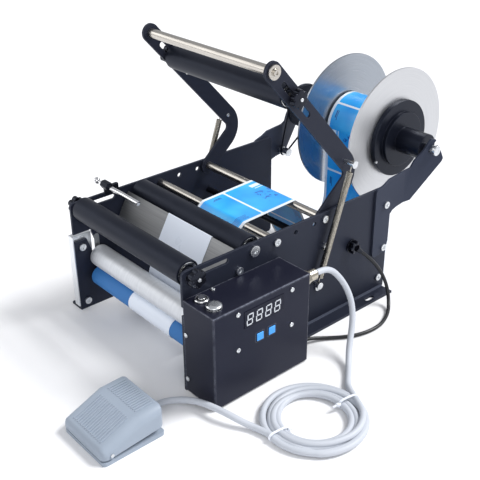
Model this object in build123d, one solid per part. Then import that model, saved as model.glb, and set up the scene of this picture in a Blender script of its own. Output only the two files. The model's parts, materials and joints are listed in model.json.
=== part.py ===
from build123d import *
from math import atan2, cos, degrees, hypot, radians, sin, sqrt, tan
import os

# Semi-automatic bottle labelling machine with a label reel, a pressure arm and a foot pedal.
# Lengths are in millimetres and angles in degrees. The model is laid out about the middle of its
# frame: X runs across the machine towards the control box, Y from front to back, Z up from the bench.

# Frame: two side plates with folded feet
plate_length = 320.0
plate_height = 145.0
plate_thickness = 3.0
inner_width = 208.0
plate_corner = 5.0
foot_width = 17.8
foot_bend = 2.0
right_foot_start = 136.0
foot_setback = 3.0
foot_slot_length = 15.4
foot_slot_width = 6.0
foot_slot_out = 10.6
foot_slot_inset = 37.5
overrun = 1.0
fit_gap = 0.05
running_gap = 0.3
light_gap = 1.0
spare_hole_radius = 3.0
spare_hole_back = 159.5
spare_hole_pitch = 29.4
spare_hole_height = 135.0

# Rollers: distance behind the front edge of the plates, height above the bench, radius
roller_end_gap = 5.0
roller_recess = 2.0
roller_wall = 3.2
roller_hub_wall = 3.0
front_roller_back = 13.9
front_roller_height = 136.8
front_roller_radius = 14.3
rear_roller_back = 97.2
rear_roller_height = 134.8
rear_roller_radius = 14.3
nip_roller_back = 30.3
nip_roller_height = 69.2
nip_roller_radius = 13.7
drive_roller_back = 28.3
drive_roller_height = 42.2
drive_roller_radius = 12.5
axle_radius = 3.0
rear_axle_radius = 4.0
nip_axle_radius = 4.5
nip_axle_reach = 3.0
drive_shaft_radius = 4.0
roller_slot_front = 5.0
roller_slot_back = 61.5

# Loading slot of the nip roller, open at the front edge of the plates
load_slot_top = 104.5
load_slot_bottom = 94.0
load_slot_back = 25.0
load_leg_width = 9.2
nip_tab_width = 7.0
nip_tab_thickness = 1.2
nip_tab_rise = 27.8
nip_tab_drop = 7.2

# Aluminium rail outside the left plate at the front
rail_width = 8.0
rail_depth = 25.0
rail_top = 100.7
rail_lip = 1.5
rail_lip_reach = 2.5

# Rods across the frame
guide_rod_back = 130.0
guide_rod_height = 133.6
guide_rod_radius = 5.0
pivot_back = 205.0
pivot_height = 136.5
pivot_radius = 5.0
tie_rod_back = 206.5
tie_rod_height = 100.5
tie_rod_radius = 4.0
stud_radius = 2.5
bolt_head_radius = 4.6
bolt_head_height = 2.6
socket_radius = 2.0
socket_depth = 1.2
bracket_bolt_back = 310.0
bracket_bolt_bottom = 62.9
bracket_bolt_top = 121.5
rear_bolt_back = 308.0
rear_bolt_height = 19.3
spring_bolt_back = 196.7
spring_bolt_height = 49.7
rail_bolt_back = 10.0
rail_bolt_bottom = 10.5
rail_bolt_top = 85.5

# Peel plate: its upper edge turns the label tape, its square bar carries it
peel_edge_back = 79.5
peel_edge_height = 138.5
peel_slope = 60.35
peel_length = 48.0
peel_thickness = 1.2
peel_side_gap = 2.0
peel_bar_size = 10.0
peel_bar_drop = 18.9

# Pressure arm: two bent flat arms, a handle bar and a sliding roller
arm_thickness = 3.0
arm_side_gap = 0.5
arm_width = 21.6
arm_lower_length = 66.6
arm_lower_angle = 41.3
arm_upper_length = 193.1
arm_upper_angle = 132.2
arm_inner_radius = 6.0
arm_outer_radius = 34.0
arm_slot_start = 18.7
arm_slot_end = 80.0
arm_slot_width = 6.4
top_axle_along = 44.0
top_roller_radius = 14.0
top_roller_end_gap = 3.5
handle_radius = 5.5
handle_disc_radius = 10.0
handle_disc_thickness = 3.0
spring_pin_back = 33.5
spring_pin_rise = 60.5
spring_pin_radius = 2.5
spring_pin_reach = 14.5

# Arm springs outside the plates
spring_out = 7.2
spring_radius = 4.0
spring_wire_radius = 0.6
spring_hook = 9.0
spring_anchor_back = 190.5
spring_anchor_height = 58.0
spring_anchor_reach = 10.5
spring_anchor_flange = 4.5
flange_thickness = 1.2

# Star knobs
knob_radius = 12.5
knob_lobes = 6
knob_lobe_radius = 4.2
knob_body_radius = 9.4
knob_height = 7.0
knob_boss_radius = 6.0
knob_boss_height = 3.0

# Reel brackets, bent outwards behind the plates
bracket_front = 291.0
bracket_bottom = 52.0
bracket_reach = 105.0
bracket_rise = 139.7
bracket_bend = 343.0
bracket_splay = 16.0
bracket_corner = 6.0
bracket_tip_radius = 3.0
notch_angle = 50.0
# Outline of a bracket as shares of its reach and rise, anticlockwise from the bottom
bracket_shares = ((0, 0), (0.229, 0.026), (0.267, 0.122), (0.27, 0.384), (0.31, 0.413), (0.381, 0.43),
                  (0.589, 0.452), (0.983, 0.767), (1, 0.796), (0.958, 0.87), (0.914, 0.928), (0.87, 0.99),
                  (0.812, 1), (0.728, 0.906), (0.611, 0.827), (0.566, 0.764), (0.476, 0.747), (0.224, 0.727),
                  (0.14, 0.693), (0, 0.66))

# Reel
reel_back = 379.0
reel_height = 177.5
reel_axle_radius = 5.0
reel_axle_reach = 127.0
reel_flat_depth = 1.2
reel_flat_length = 10.0
disc_radius = 88.5
disc_thickness = 2.5
disc_left = 22.5
disc_right = 60.5
reel_flange_radius = 52.0
reel_flange_thickness = 7.0
reel_step_radius = 35.0
reel_step_thickness = 5.0
reel_tube_radius = 16.5
reel_tube_end = 111.0
core_radius = 20.0
label_roll_radius = 39.0
roll_side_gap = 2.5
drum_radius = 30.0
drum_width = 8.0
drum_out = 97.0
drum_groove = 2.0
belt_radius = 1.25
brake_knob_back = 341.0
brake_knob_height = 119.5
brake_knob_radius = 5.5
brake_knob_length = 9.0
brake_pulley_radius = 4.0
brake_stud_radius = 2.0

# Label tape
tape_left = 20.0
tape_width = 78.0
tape_thickness = 0.15
tape_hang_bottom = 85.0
tape_loop_radius = 50.0
tape_roller_gap = 1.6
tape_end_back = 62.0
tape_end_height = 20.0
tape_split = 1.5

# Control box on the right plate
box_width = 48.5
box_length = 134.0
box_height = 113.6
box_bottom = 1.5
box_wall = 1.5
box_corner = 1.6
window_back = 40.0
window_length = 55.0
window_bottom = 85.5
window_height = 20.0
window_thickness = 0.5
key_size = 10.5
key_first_back = 61.6
key_pitch = 16.7
key_height = 67.2
key_stand = 2.5
key_stem = 4.0
key_travel = 1.2
push_out = 12.6
dome_out = 32.5
push_back = 14.5
push_radius = 8.0
push_plunger_radius = 5.6
push_bezel_height = 3.0
push_plunger_stand = 1.0
dome_radius = 8.5
dome_height = 6.0
dome_collar_height = 1.5
dome_stem_radius = 5.0
button_stem = 8.0
gland_out = 39.5
gland_height = 103.3
gland_nut_radius = 8.0
gland_nut_length = 5.0
gland_cap_radius = 6.6
gland_cap_length = 12.0
gland_collar = 2.0
grommet_out = 25.0
grommet_height = 8.0
grommet_radius = 4.6
grommet_length = 3.0
inlet_out = 24.0
inlet_height = 62.0
inlet_width = 28.0
inlet_rise = 20.0
inlet_flange = 2.0
inlet_depth = 16.0
inlet_lip = 3.0
motor_radius = 18.5
motor_length = 36.0
drive_shaft_reach = 30.0

# Label sensor inside the right plate, and the socket of its lead outside
sensor_back = 250.9
sensor_height = 84.0
sensor_length = 20.0
sensor_rise = 26.0
sensor_width = 16.0
sensor_lens_radius = 3.0
sensor_lens_height = 1.5
socket_length = 17.0
socket_rise = 20.0
socket_width = 6.0
boot_radius = 3.6
boot_start = 3.0

# Bottle stop on the left plate
stop_rod_back = 49.5
stop_rod_height = 157.0
stop_rod_radius = 4.25
stop_rod_end = 33.0
stop_rod_reach = 118.0
stop_knob_radius = 4.4
stop_neck_radius = 2.6
clamp_length = 21.0
clamp_top = 163.5
clamp_bottom = 141.0
clamp_cheek = 3.2
clamp_shelf = 151.6
clamp_reach = 7.0
clamp_corner = 2.0

# Foot pedal beside the machine
pedal_x = 111.9
pedal_y = -254.7
pedal_width = 73.0
pedal_length = 74.0
pedal_front_height = 10.0
pedal_back_height = 31.0
pedal_wall = 2.4
pedal_base_height = 4.0
pedal_skirt_front = 5.5
pedal_skirt_back = 12.0
pedal_hinge_inset = 10.5
pedal_hinge_height = 8.0
pedal_pin_radius = 1.6
pedal_lug_thickness = 3.0
pedal_lug_gap = 0.4
pedal_base_margin = 0.6
pedal_corner = 4.0
pedal_rib_height = 0.9
pedal_rib_width = 1.6
pedal_ribs = 13
pedal_band_share = 0.2
pedal_relief_radius = 4.4
pedal_relief_gap = 0.6
pedal_switch_size = 18.0
pedal_switch_height = 8.0

# Cords: a grey pedal cord with a tied coil, and the black lead of the label sensor
pedal_cord_radius = 3.5
coil_x = 232.5
coil_y = -94.0
coil_outer = 55.0
coil_inner = 33.0
tie_width = 5.0
tie_thickness = 1.0
tie_angles = (81.0, -92.7)
lead_radius = 2.2
pedal_cord_points = ((146.5, -9, 103.3), (146.5, 4, 103.3), (148, 16.5, 98), (151, 26, 86.4), (155, 32.3, 74.3),
                     (160, 35.6, 61.1), (166, 33.9, 48.3), (172, 28.3, 35.1), (177.5, 20.2, 24), (184, 11, 14),
                     (192.5, 1.5, 7), (201.5, -8, 4), (210.4, -18.2, 3.5), (219.5, -29.5, 3.8), (228.5, -43, 4.5))
pedal_end_points = ((204, -137.5, 4.5), (198, -147, 6), (188, -156, 9), (174, -161.8, 11.5), (158, -165.2, 11.5),
                    (141, -168.5, 9.5), (127, -174.5, 7), (115.5, -184.5, 5.3), (109.7, -197, 5),
                    (109.7, -208.7, 5))
lead_points = ((115.4, 97.5, 81), (120, 109, 69.5), (124, 120.5, 56.5), (127.5, 129.5, 42), (131.5, 134.5, 28),
               (136.5, 134.5, 15.5), (144, 128, 6), (152.5, 117.5, 2.2), (160, 103.5, 2.2), (165.5, 87.5, 2.2),
               (165.5, 67, 2.2), (160, 47.5, 2.2), (150, 31, 2.2), (139.5, 16.5, 2.6), (133, 2, 5.5),
               (132, -11, 8), (132, -23, 8))

inner = inner_width / 2
outer = inner + plate_thickness
front = -plate_length / 2
cord_names = ("pedal_cord_start", "pedal_cord_coil", "pedal_cord_end", "cord_ties", "sensor_lead")


def behind(distance):
    """Y of a place that lies this far behind the front edge of the side plates."""
    return front + distance


def rod(radius, start, end, y, z):
    """Round bar along X."""
    bar = Cylinder(radius, end - start, align=(Align.CENTER, Align.CENTER, Align.MIN))
    return Pos(start, y, z) * Rot(0, 90, 0) * bar


def tube(radius, bore, start, end, y, z):
    """Hollow round bar along X."""
    return rod(radius, start, end, y, z) - rod(bore, start - overrun, end + overrun, y, z)


def block(x0, x1, y0, y1, z0, z1):
    """Box between two corners."""
    return Pos(x0, y0, z0) * Box(x1 - x0, y1 - y0, z1 - z0, align=(Align.MIN, Align.MIN, Align.MIN))


def upright(radius, x, y, z0, z1):
    """Round bar along Z."""
    return Pos(x, y, z0) * Cylinder(radius, z1 - z0, align=(Align.CENTER, Align.CENTER, Align.MIN))


def side_slab(face, start, thickness):
    """Sheet cut to a side outline, whose two axes are Y and Z, standing across X."""
    plane = Plane(origin=(start, 0, 0), x_dir=(0, 1, 0), z_dir=(1, 0, 0))
    return extrude(plane * face, thickness)


def outline(points):
    return make_face(Polyline(*points, close=True))


def slot_face(y0, z0, y1, z1, width):
    """Side outline of a slot between the centres of its two round ends."""
    length = hypot(y1 - y0, z1 - z0)
    turn = degrees(atan2(z1 - z0, y1 - y0))
    return Pos((y0 + y1) / 2, (z0 + z1) / 2) * Rot(0, 0, turn) * SlotCenterToCenter(length, width)


def mirrored(solid):
    return mirror(solid, about=Plane.YZ)


def together(pieces):
    """Separate solids of one sub-part."""
    return Part() + pieces


def roller(radius, bore, end, y, z):
    """Roller with a recess at each end round its hub."""
    body = tube(radius, bore, -end, end, y, z)
    pocket = tube(radius - roller_wall, bore + roller_hub_wall, end - roller_recess, end + overrun, y, z)
    return body - pocket - mirrored(pocket)


def star_knob(start, y, z):
    """Lobed clamping knob on the right, with its boss against the plate."""
    face = Circle(knob_body_radius)
    for index in range(knob_lobes):
        turn = 360 * index / knob_lobes
        face += Rot(0, 0, turn) * Pos(knob_radius - knob_lobe_radius, 0) * Circle(knob_lobe_radius)
    star = side_slab(Pos(y, z) * face, start + knob_boss_height, knob_height)
    return star + rod(knob_boss_radius, start, start + knob_boss_height, y, z)


def bolt_head(start, y, z, radius=bolt_head_radius, height=bolt_head_height):
    """Pan head on the right with a socket."""
    head = rod(radius, start, start + height, y, z)
    return head - rod(socket_radius, start + height - socket_depth, start + height + overrun, y, z)


def side_plate(right):
    """Right side plate when right is true, else the left one before it is mirrored."""
    top = plate_height
    face = outline(((front, 0), (-front - foot_setback, 0), (-front, foot_setback), (-front, top), (front, top)))
    corners = face.vertices().sort_by(Axis.Y)[-2:]
    face = fillet(corners, plate_corner)
    roller_slot = slot_face(behind(roller_slot_front) + axle_radius, front_roller_height,
                            behind(roller_slot_back) - axle_radius, front_roller_height,
                            2 * (axle_radius + fit_gap))
    face -= roller_slot
    mouth = outline(((front - overrun, load_slot_bottom), (behind(load_slot_back), load_slot_bottom),
                     (behind(load_slot_back), load_slot_top), (front - overrun, load_slot_top)))
    mouth_middle = (load_slot_top + load_slot_bottom) / 2
    leg = slot_face(behind(load_slot_back) - load_leg_width / 2, mouth_middle,
                    behind(nip_roller_back), nip_roller_height, load_leg_width)
    face -= mouth
    face -= leg
    for back, height, radius in ((rear_roller_back, rear_roller_height, rear_axle_radius + fit_gap),
                                 (drive_roller_back, drive_roller_height, drive_shaft_radius + fit_gap),
                                 (guide_rod_back, guide_rod_height, stud_radius + fit_gap),
                                 (pivot_back, pivot_height, stud_radius + fit_gap),
                                 (tie_rod_back, tie_rod_height, stud_radius + fit_gap),
                                 (spare_hole_back, spare_hole_height, spare_hole_radius),
                                 (spare_hole_back + spare_hole_pitch, spare_hole_height, spare_hole_radius)):
        face -= Pos(behind(back), height) * Circle(radius)
    plate = side_slab(face, inner, plate_thickness)
    foot_start = behind(right_foot_start) if right else front
    foot_end = -front - foot_setback
    bend = outline(((outer, 0), (outer + foot_width, 0), (outer + foot_width, plate_thickness),
                    (outer + foot_bend, plate_thickness), (outer, plate_thickness + foot_bend)))
    section = Plane(origin=(0, foot_start, 0), x_dir=(1, 0, 0), z_dir=(0, -1, 0))
    foot = extrude(section * bend, foot_start - foot_end)
    slot_y = -front - foot_slot_inset
    for place in ((slot_y,) if right else (slot_y, -slot_y)):
        long_slot = Pos(outer + foot_slot_out, place, -overrun) * Rot(0, 0, 90) * extrude(
            SlotOverall(foot_slot_length, foot_slot_width), plate_thickness + foot_bend + overrun)
        foot -= long_slot
    return plate + foot


def cross_rod(radius, back, height):
    """Rod between the plates whose thinner ends pass through them."""
    y = behind(back)
    return rod(radius, -inner, inner, y, height) + rod(stud_radius, -outer, outer, y, height)


def bracket():
    """Right reel bracket: a splayed strip cut to the side outline, with an open notch for the axle."""
    points = [(behind(bracket_front) + bracket_reach * across, bracket_bottom + bracket_rise * up)
              for across, up in bracket_shares]
    face = outline(points)
    low = face.vertices().sort_by(Axis.X)[:2]
    face = fillet(low, bracket_corner)
    tip = face.vertices().sort_by(Axis.X)[-3:]
    face = fillet(tip, bracket_tip_radius)
    axle_y = behind(reel_back)
    away = (cos(radians(notch_angle)), sin(radians(notch_angle)))
    reach = bracket_reach
    half = reel_axle_radius - reel_flat_depth + fit_gap
    seat = reel_axle_radius + fit_gap
    face -= outline([(axle_y + along * away[0] - side * half * away[1], reel_height + along * away[1] + side * half * away[0])
                     for along, side in ((-seat, -1), (reach, -1), (reach, 1), (-seat, 1))])
    bend_y = behind(bracket_bend)
    end_y = behind(bracket_front) + bracket_reach + overrun
    lean = tan(radians(bracket_splay)) * (end_y - bend_y)
    strip = outline(((outer, behind(bracket_front) - overrun), (outer + plate_thickness, behind(bracket_front) - overrun),
                     (outer + plate_thickness, bend_y), (outer + plate_thickness + lean, end_y),
                     (outer + lean, end_y), (outer, bend_y)))
    bent = extrude(strip, bracket_bottom + bracket_rise + overrun)
    side = side_slab(face, outer - overrun, lean + plate_thickness + 2 * overrun)
    return bent & side


def bracket_outside(y):
    """X of the right bracket's outer face at this Y."""
    return outer + plate_thickness + max(0, y - behind(bracket_bend)) * tan(radians(bracket_splay))


def peel_place(along, deep):
    """Side place this far down the peel plate's face and this far behind it."""
    slope = radians(peel_slope)
    return (behind(peel_edge_back) - along * cos(slope) + deep * sin(slope),
            peel_edge_height - along * sin(slope) - deep * cos(slope))


def peel_parts():
    plate_end = inner - peel_side_gap
    corners = ((0, 0), (peel_length, 0), (peel_length, peel_thickness), (peel_thickness, peel_thickness))
    plate = side_slab(outline([peel_place(*corner) for corner in corners]), -plate_end, 2 * plate_end)
    near, far = peel_bar_drop - peel_bar_size / 2, peel_bar_drop + peel_bar_size / 2
    deep = peel_thickness + peel_bar_size
    square = ((near, peel_thickness), (far, peel_thickness), (far, deep), (near, deep))
    bar = side_slab(outline([peel_place(*corner) for corner in square]), -inner, inner_width)
    return plate, bar


def arm_points():
    """Side places of the arm's pivot, corner and handle."""
    pivot = (behind(pivot_back), pivot_height)
    lower, upper = radians(arm_lower_angle), radians(arm_upper_angle)
    corner = (pivot[0] + arm_lower_length * cos(lower), pivot[1] + arm_lower_length * sin(lower))
    handle = (corner[0] + arm_upper_length * cos(upper), corner[1] + arm_upper_length * sin(upper))
    return pivot, corner, handle


def along_arm(distance):
    """Side place on the upper limb's middle line, this far from the handle."""
    pivot, corner, handle = arm_points()
    upper = radians(arm_upper_angle)
    return handle[0] - distance * cos(upper), handle[1] - distance * sin(upper)


def arm():
    """Right arm, whose outline runs round its two ends and its corner."""
    pivot, corner, handle = arm_points()
    half = arm_width / 2
    lower_turn, upper_turn = radians(arm_lower_angle), radians(arm_upper_angle)
    middle = (lower_turn + upper_turn) / 2 + radians(90)
    spread = sin((radians(180) - upper_turn + lower_turn) / 2)
    inside = (arm_inner_radius + half) / spread
    outside = (arm_outer_radius - half) / spread
    stops = [(*handle, half, 1),
             (corner[0] + inside * cos(middle), corner[1] + inside * sin(middle), arm_inner_radius, -1),
             (*pivot, half, 1),
             (corner[0] + outside * cos(middle), corner[1] + outside * sin(middle), arm_outer_radius, 1)]
    face = make_face(Wire(tangent_edges(stops, closed=True)))
    face -= slot_face(*along_arm(arm_slot_start + arm_slot_width / 2), *along_arm(arm_slot_end - arm_slot_width / 2),
                      arm_slot_width)
    face -= Pos(*pivot) * Circle(pivot_radius + fit_gap)
    start = inner - arm_side_gap - arm_thickness
    return side_slab(face, start, arm_thickness)


def handle_bar():
    handle = arm_points()[2]
    start = inner - arm_side_gap - arm_thickness
    end = inner - arm_side_gap
    bar = rod(handle_radius, -start, start, *handle)
    disc = rod(handle_disc_radius, end, end + handle_disc_thickness, *handle)
    head = bolt_head(end + handle_disc_thickness, *handle)
    return together([bar, disc + head, mirrored(disc + head)])


def spring(x):
    """Arm spring as its plain outer shape: a bar with a hooked ring at each end."""
    low = Vector(x, behind(spring_anchor_back), spring_anchor_height)
    high = Vector(x, behind(pivot_back) + spring_pin_back, pivot_height + spring_pin_rise)
    line = (high - low).normalized()
    plane = Plane(origin=low + line * spring_hook, x_dir=(1, 0, 0), z_dir=line)
    length = (high - low).length - 2 * spring_hook
    coil = extrude(plane * Circle(spring_radius), length)
    ring_radius = spring_pin_radius + running_gap + spring_wire_radius
    hooks = []
    for centre, turn in ((low, 1), (high, -1)):
        ring = Pos(*centre) * Rot(0, 90, 0) * Torus(ring_radius, spring_wire_radius)
        foot = Plane(origin=centre + line * (turn * ring_radius), x_dir=(1, 0, 0), z_dir=line * turn)
        stem = extrude(foot * Circle(spring_wire_radius), spring_hook - ring_radius + overrun)
        hooks.append(ring + stem)
    return coil + hooks[0] + hooks[1]


def spring_post(start, reach, y, z):
    """Round post on the right with a flange that keeps the hook on."""
    end = start + reach
    return rod(spring_pin_radius, start, end, y, z) + rod(spring_anchor_flange, end, end + flange_thickness, y, z)


def frame_bolts():
    """Bolt heads outside the plates, the posts that hold the springs, and the rail's bolts inside the left plate."""
    heads = []
    peel_bolt = peel_place(peel_bar_drop, peel_thickness + peel_bar_size / 2)
    for place in ((behind(guide_rod_back), guide_rod_height), (behind(pivot_back), pivot_height),
                  (behind(tie_rod_back), tie_rod_height), peel_bolt):
        heads.append(bolt_head(outer, *place))
    for height in (bracket_bolt_bottom, bracket_bolt_top):
        heads.append(bolt_head(outer + plate_thickness, behind(bracket_bolt_back), height))
    heads.append(bolt_head(outer, behind(rear_bolt_back), rear_bolt_height))
    heads.append(bolt_head(outer, behind(spring_bolt_back), spring_bolt_height))
    heads.append(spring_post(outer, spring_anchor_reach, behind(spring_anchor_back), spring_anchor_height))
    rail_heads = [bolt_head(-inner, behind(rail_bolt_back), height) for height in (rail_bolt_bottom, rail_bolt_top)]
    return together(heads + [mirrored(head) for head in heads] + rail_heads)


def reel_parts():
    y, z = behind(reel_back), reel_height
    bore = reel_axle_radius + fit_gap
    left_disc = tube(disc_radius, core_radius, -disc_left - disc_thickness, -disc_left, y, z)
    right_disc = tube(disc_radius, core_radius, disc_right, disc_right + disc_thickness, y, z)
    hub_start = disc_right + disc_thickness
    step_start = hub_start + reel_flange_thickness
    tube_start = step_start + reel_step_thickness
    hub = rod(core_radius, -disc_left - disc_thickness, hub_start, y, z)
    hub += rod(reel_flange_radius, hub_start, step_start, y, z)
    hub += rod(reel_step_radius, step_start, tube_start, y, z)
    hub += rod(reel_tube_radius, tube_start, reel_tube_end, y, z)
    hub += rod(reel_tube_radius, -drum_out, -disc_left - disc_thickness, y, z)
    hub -= rod(bore, -drum_out - overrun, reel_tube_end + overrun, y, z)
    roll = tube(label_roll_radius, core_radius, -disc_left + roll_side_gap + tape_thickness,
                disc_right - roll_side_gap, y, z)
    groove_x = -drum_out - drum_width / 2
    drum = tube(drum_radius, bore, -drum_out - drum_width, -drum_out, y, z)
    groove = Pos(groove_x, y, z) * Rot(0, 90, 0) * Torus(drum_radius, drum_groove)
    return left_disc, right_disc, hub, roll, drum - groove


def reel_axle():
    """Fixed axle whose flattened ends sit in the notches of the brackets."""
    y, z = behind(reel_back), reel_height
    axle = rod(reel_axle_radius, -reel_axle_reach, reel_axle_reach, y, z)
    flat = reel_axle_radius - reel_flat_depth
    turn = Pos(reel_axle_reach + overrun, y, z) * Rot(notch_angle, 0, 0)
    width = reel_flat_length + 2 * overrun
    for side in (1, -1):
        cut = turn * Pos(-width / 2, 0, side * (flat + reel_axle_radius / 2)) * Box(
            width + 2 * reel_flat_length, 2 * reel_axle_radius, reel_axle_radius)
        axle -= cut
        axle -= mirrored(cut)
    return axle


def tangent_stops(stops, closed=False):
    """Straight runs that touch a chain of circles, each given as y, z, radius and turn (1 left, -1 right)."""
    runs = []
    pairs = list(zip(stops, stops[1:])) + ([(stops[-1], stops[0])] if closed else [])
    for (y0, z0, r0, s0), (y1, z1, r1, s1) in pairs:
        across, shift = hypot(y1 - y0, z1 - z0), s1 * r1 - s0 * r0
        turn = atan2(z1 - z0, y1 - y0) - atan2(shift, sqrt(across ** 2 - shift ** 2))
        left = (-sin(turn), cos(turn))
        runs.append(((y0 - s0 * r0 * left[0], z0 - s0 * r0 * left[1]),
                     (y1 - s1 * r1 * left[0], z1 - s1 * r1 * left[1]), turn))
    return runs


def tangent_edges(stops, closed=False):
    """Lines and arcs of a path that runs round the stops."""
    runs = tangent_stops(stops, closed)
    edges = []
    for index, (start, end, turn) in enumerate(runs):
        edges.append(Edge.make_line((*start, 0), (*end, 0)))
        if index + 1 == len(runs) and not closed:
            break
        following = runs[(index + 1) % len(runs)]
        y, z, radius, side = stops[(index + 1) % len(stops)]
        bend = (side * (following[2] - turn)) % radians(360) * side
        half = (cos(bend / 2), sin(bend / 2))
        dy, dz = end[0] - y, end[1] - z
        middle = (y + dy * half[0] - dz * half[1], z + dy * half[1] + dz * half[0])
        edges.append(Edge.make_three_point_arc((*end, 0), (*middle, 0), (*following[0], 0)))
    return edges


def beside(stops, distance):
    """The same stops for a path this far to the left."""
    return [(y, z, radius - side * distance, side) for y, z, radius, side in stops]


def tape(stops):
    """Tape that runs round the stops."""
    left = tangent_edges(beside(stops, tape_thickness / 2))
    right = tangent_edges(beside(stops, -tape_thickness / 2))
    caps = [Edge.make_line(left[0] @ 0, right[0] @ 0), Edge.make_line(left[-1] @ 1, right[-1] @ 1)]
    return side_slab(make_face(Wire(left + right + caps)), -tape_left, tape_width)


def tape_parts():
    """Label tape from the reel to the peel edge, and its backing from there round the drive roller."""
    gap = running_gap + tape_thickness / 2
    roll_y = behind(reel_back) - label_roll_radius - gap
    over_edge = peel_thickness / 2
    edge_y, edge_z = peel_place(over_edge, over_edge)
    labels = [(roll_y, reel_height, 0, 1),
              (roll_y - tape_loop_radius, tape_hang_bottom, tape_loop_radius, -1),
              (behind(pivot_back), pivot_height, pivot_radius + gap, 1),
              (behind(guide_rod_back), guide_rod_height, guide_rod_radius + gap, 1),
              (behind(rear_roller_back), rear_roller_height, rear_roller_radius + tape_roller_gap, -1),
              (edge_y, edge_z, over_edge + gap, 1)]
    start, end, turn = tangent_stops(labels)[-1]
    split = (end[0] - tape_split * cos(turn), end[1] - tape_split * sin(turn), 0, 1)
    foot = peel_place(peel_length - over_edge, over_edge)
    backing = [split, labels[-1], (*foot, over_edge + gap, 1),
               (behind(nip_roller_back), nip_roller_height, nip_roller_radius + gap, -1),
               (behind(drive_roller_back), drive_roller_height, drive_roller_radius + gap, 1),
               (behind(tape_end_back), tape_end_height, 0, 1)]
    return tape(labels[:-1] + [split]), tape(backing)


def brake_parts():
    """Round belt over the drum, and the knurled tensioner that it hangs from."""
    knob_y = behind(brake_knob_back)
    x = -drum_out - drum_width / 2
    big = drum_radius - drum_groove + running_gap + belt_radius
    small = brake_pulley_radius + running_gap + belt_radius
    stops = [(behind(reel_back), reel_height, big, 1), (knob_y, brake_knob_height, small, 1)]
    plane = Plane(origin=(x, 0, 0), x_dir=(0, 1, 0), z_dir=(1, 0, 0))
    path = plane * Wire(tangent_edges(stops, closed=True))
    belt = sweep(Plane(origin=path @ 0, z_dir=path % 0) * Circle(belt_radius), path=path)
    inside = plate_thickness - bracket_outside(knob_y)
    side = belt_radius + running_gap
    knob = rod(brake_pulley_radius, x - side, x + side, knob_y, brake_knob_height)
    knob += rod(brake_knob_radius, x + side, x + side + brake_knob_length, knob_y, brake_knob_height)
    knob += rod(brake_knob_radius, inside + running_gap, x - side, knob_y, brake_knob_height)
    knob += rod(brake_stud_radius, inside - plate_thickness - bolt_head_height, inside + running_gap,
                knob_y, brake_knob_height)
    return belt, knob


def control_box():
    """Sheet box on the right plate, open towards it, with the holes of what sits in its walls."""
    top, back = box_height, behind(box_length)
    right = outer + box_width
    body = block(outer, right, front, back, box_bottom, top)
    body = fillet(body.faces().sort_by(Axis.X)[-1].edges(), box_corner)
    body -= block(outer - overrun, right - box_wall, front + box_wall, back - box_wall,
                  box_bottom + box_wall, top - box_wall)
    for index in range(2):
        y = behind(key_first_back) + index * key_pitch
        half = key_size / 2 + fit_gap
        body -= block(right - box_wall - overrun, right + overrun, y - half, y + half, key_height - half, key_height + half)
    for out, radius in ((push_out, push_plunger_radius), (dome_out, dome_stem_radius)):
        body -= upright(radius + fit_gap, outer + out, behind(push_back), top - box_wall - overrun, top + overrun)
    for out, height, radius in ((gland_out, gland_height, pedal_cord_radius), (grommet_out, grommet_height, lead_radius)):
        body -= Pos(outer + out, back, height) * Rot(90, 0, 0) * Cylinder(radius + light_gap, 4 * box_wall)
    x = outer + inlet_out
    half_width, half_rise = inlet_width / 2 - inlet_lip, inlet_rise / 2 - inlet_lip
    body -= block(x - half_width, x + half_width, back - box_wall - overrun, back + overrun,
                  inlet_height - half_rise, inlet_height + half_rise)
    return body


def power_inlet():
    """Flanged socket in the box's rear wall."""
    x, back = outer + inlet_out, behind(box_length)
    half_width, half_rise = inlet_width / 2 - inlet_lip - fit_gap, inlet_rise / 2 - inlet_lip - fit_gap
    body = block(x - inlet_width / 2, x + inlet_width / 2, back, back + inlet_flange,
                 inlet_height - inlet_rise / 2, inlet_height + inlet_rise / 2)
    body += block(x - half_width, x + half_width, back - inlet_depth, back,
                  inlet_height - half_rise, inlet_height + half_rise)
    wall = box_wall
    return body - block(x - half_width + wall, x + half_width - wall, back - inlet_depth + wall,
                        back + inlet_flange + overrun, inlet_height - half_rise + wall, inlet_height + half_rise - wall)


def cord_gland():
    """Hexagon nut and tapered cap of the pedal cord's gland."""
    plane = Plane(origin=(outer + gland_out, behind(box_length), gland_height), x_dir=(1, 0, 0), z_dir=(0, 1, 0))
    nut = extrude(RegularPolygon(gland_nut_radius, 6), gland_nut_length)
    collar = Pos(0, 0, gland_nut_length) * Cylinder(gland_cap_radius, gland_cap_length - gland_collar,
                                                   align=(Align.CENTER, Align.CENTER, Align.MIN))
    tip = Pos(0, 0, gland_nut_length + gland_cap_length - gland_collar) * Cone(
        gland_cap_radius, pedal_cord_radius + light_gap, gland_collar, align=(Align.CENTER, Align.CENTER, Align.MIN))
    return plane * (nut + collar + tip)


def lead_grommet():
    start = (outer + grommet_out, behind(box_length), grommet_height)
    plane = Plane(origin=start, x_dir=(1, 0, 0), z_dir=(0, 1, 0))
    disc = Cylinder(grommet_radius, grommet_length, align=(Align.CENTER, Align.CENTER, Align.MIN))
    return plane * fillet(disc.edges().sort_by(Axis.Z)[-1], grommet_length / 4)


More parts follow.
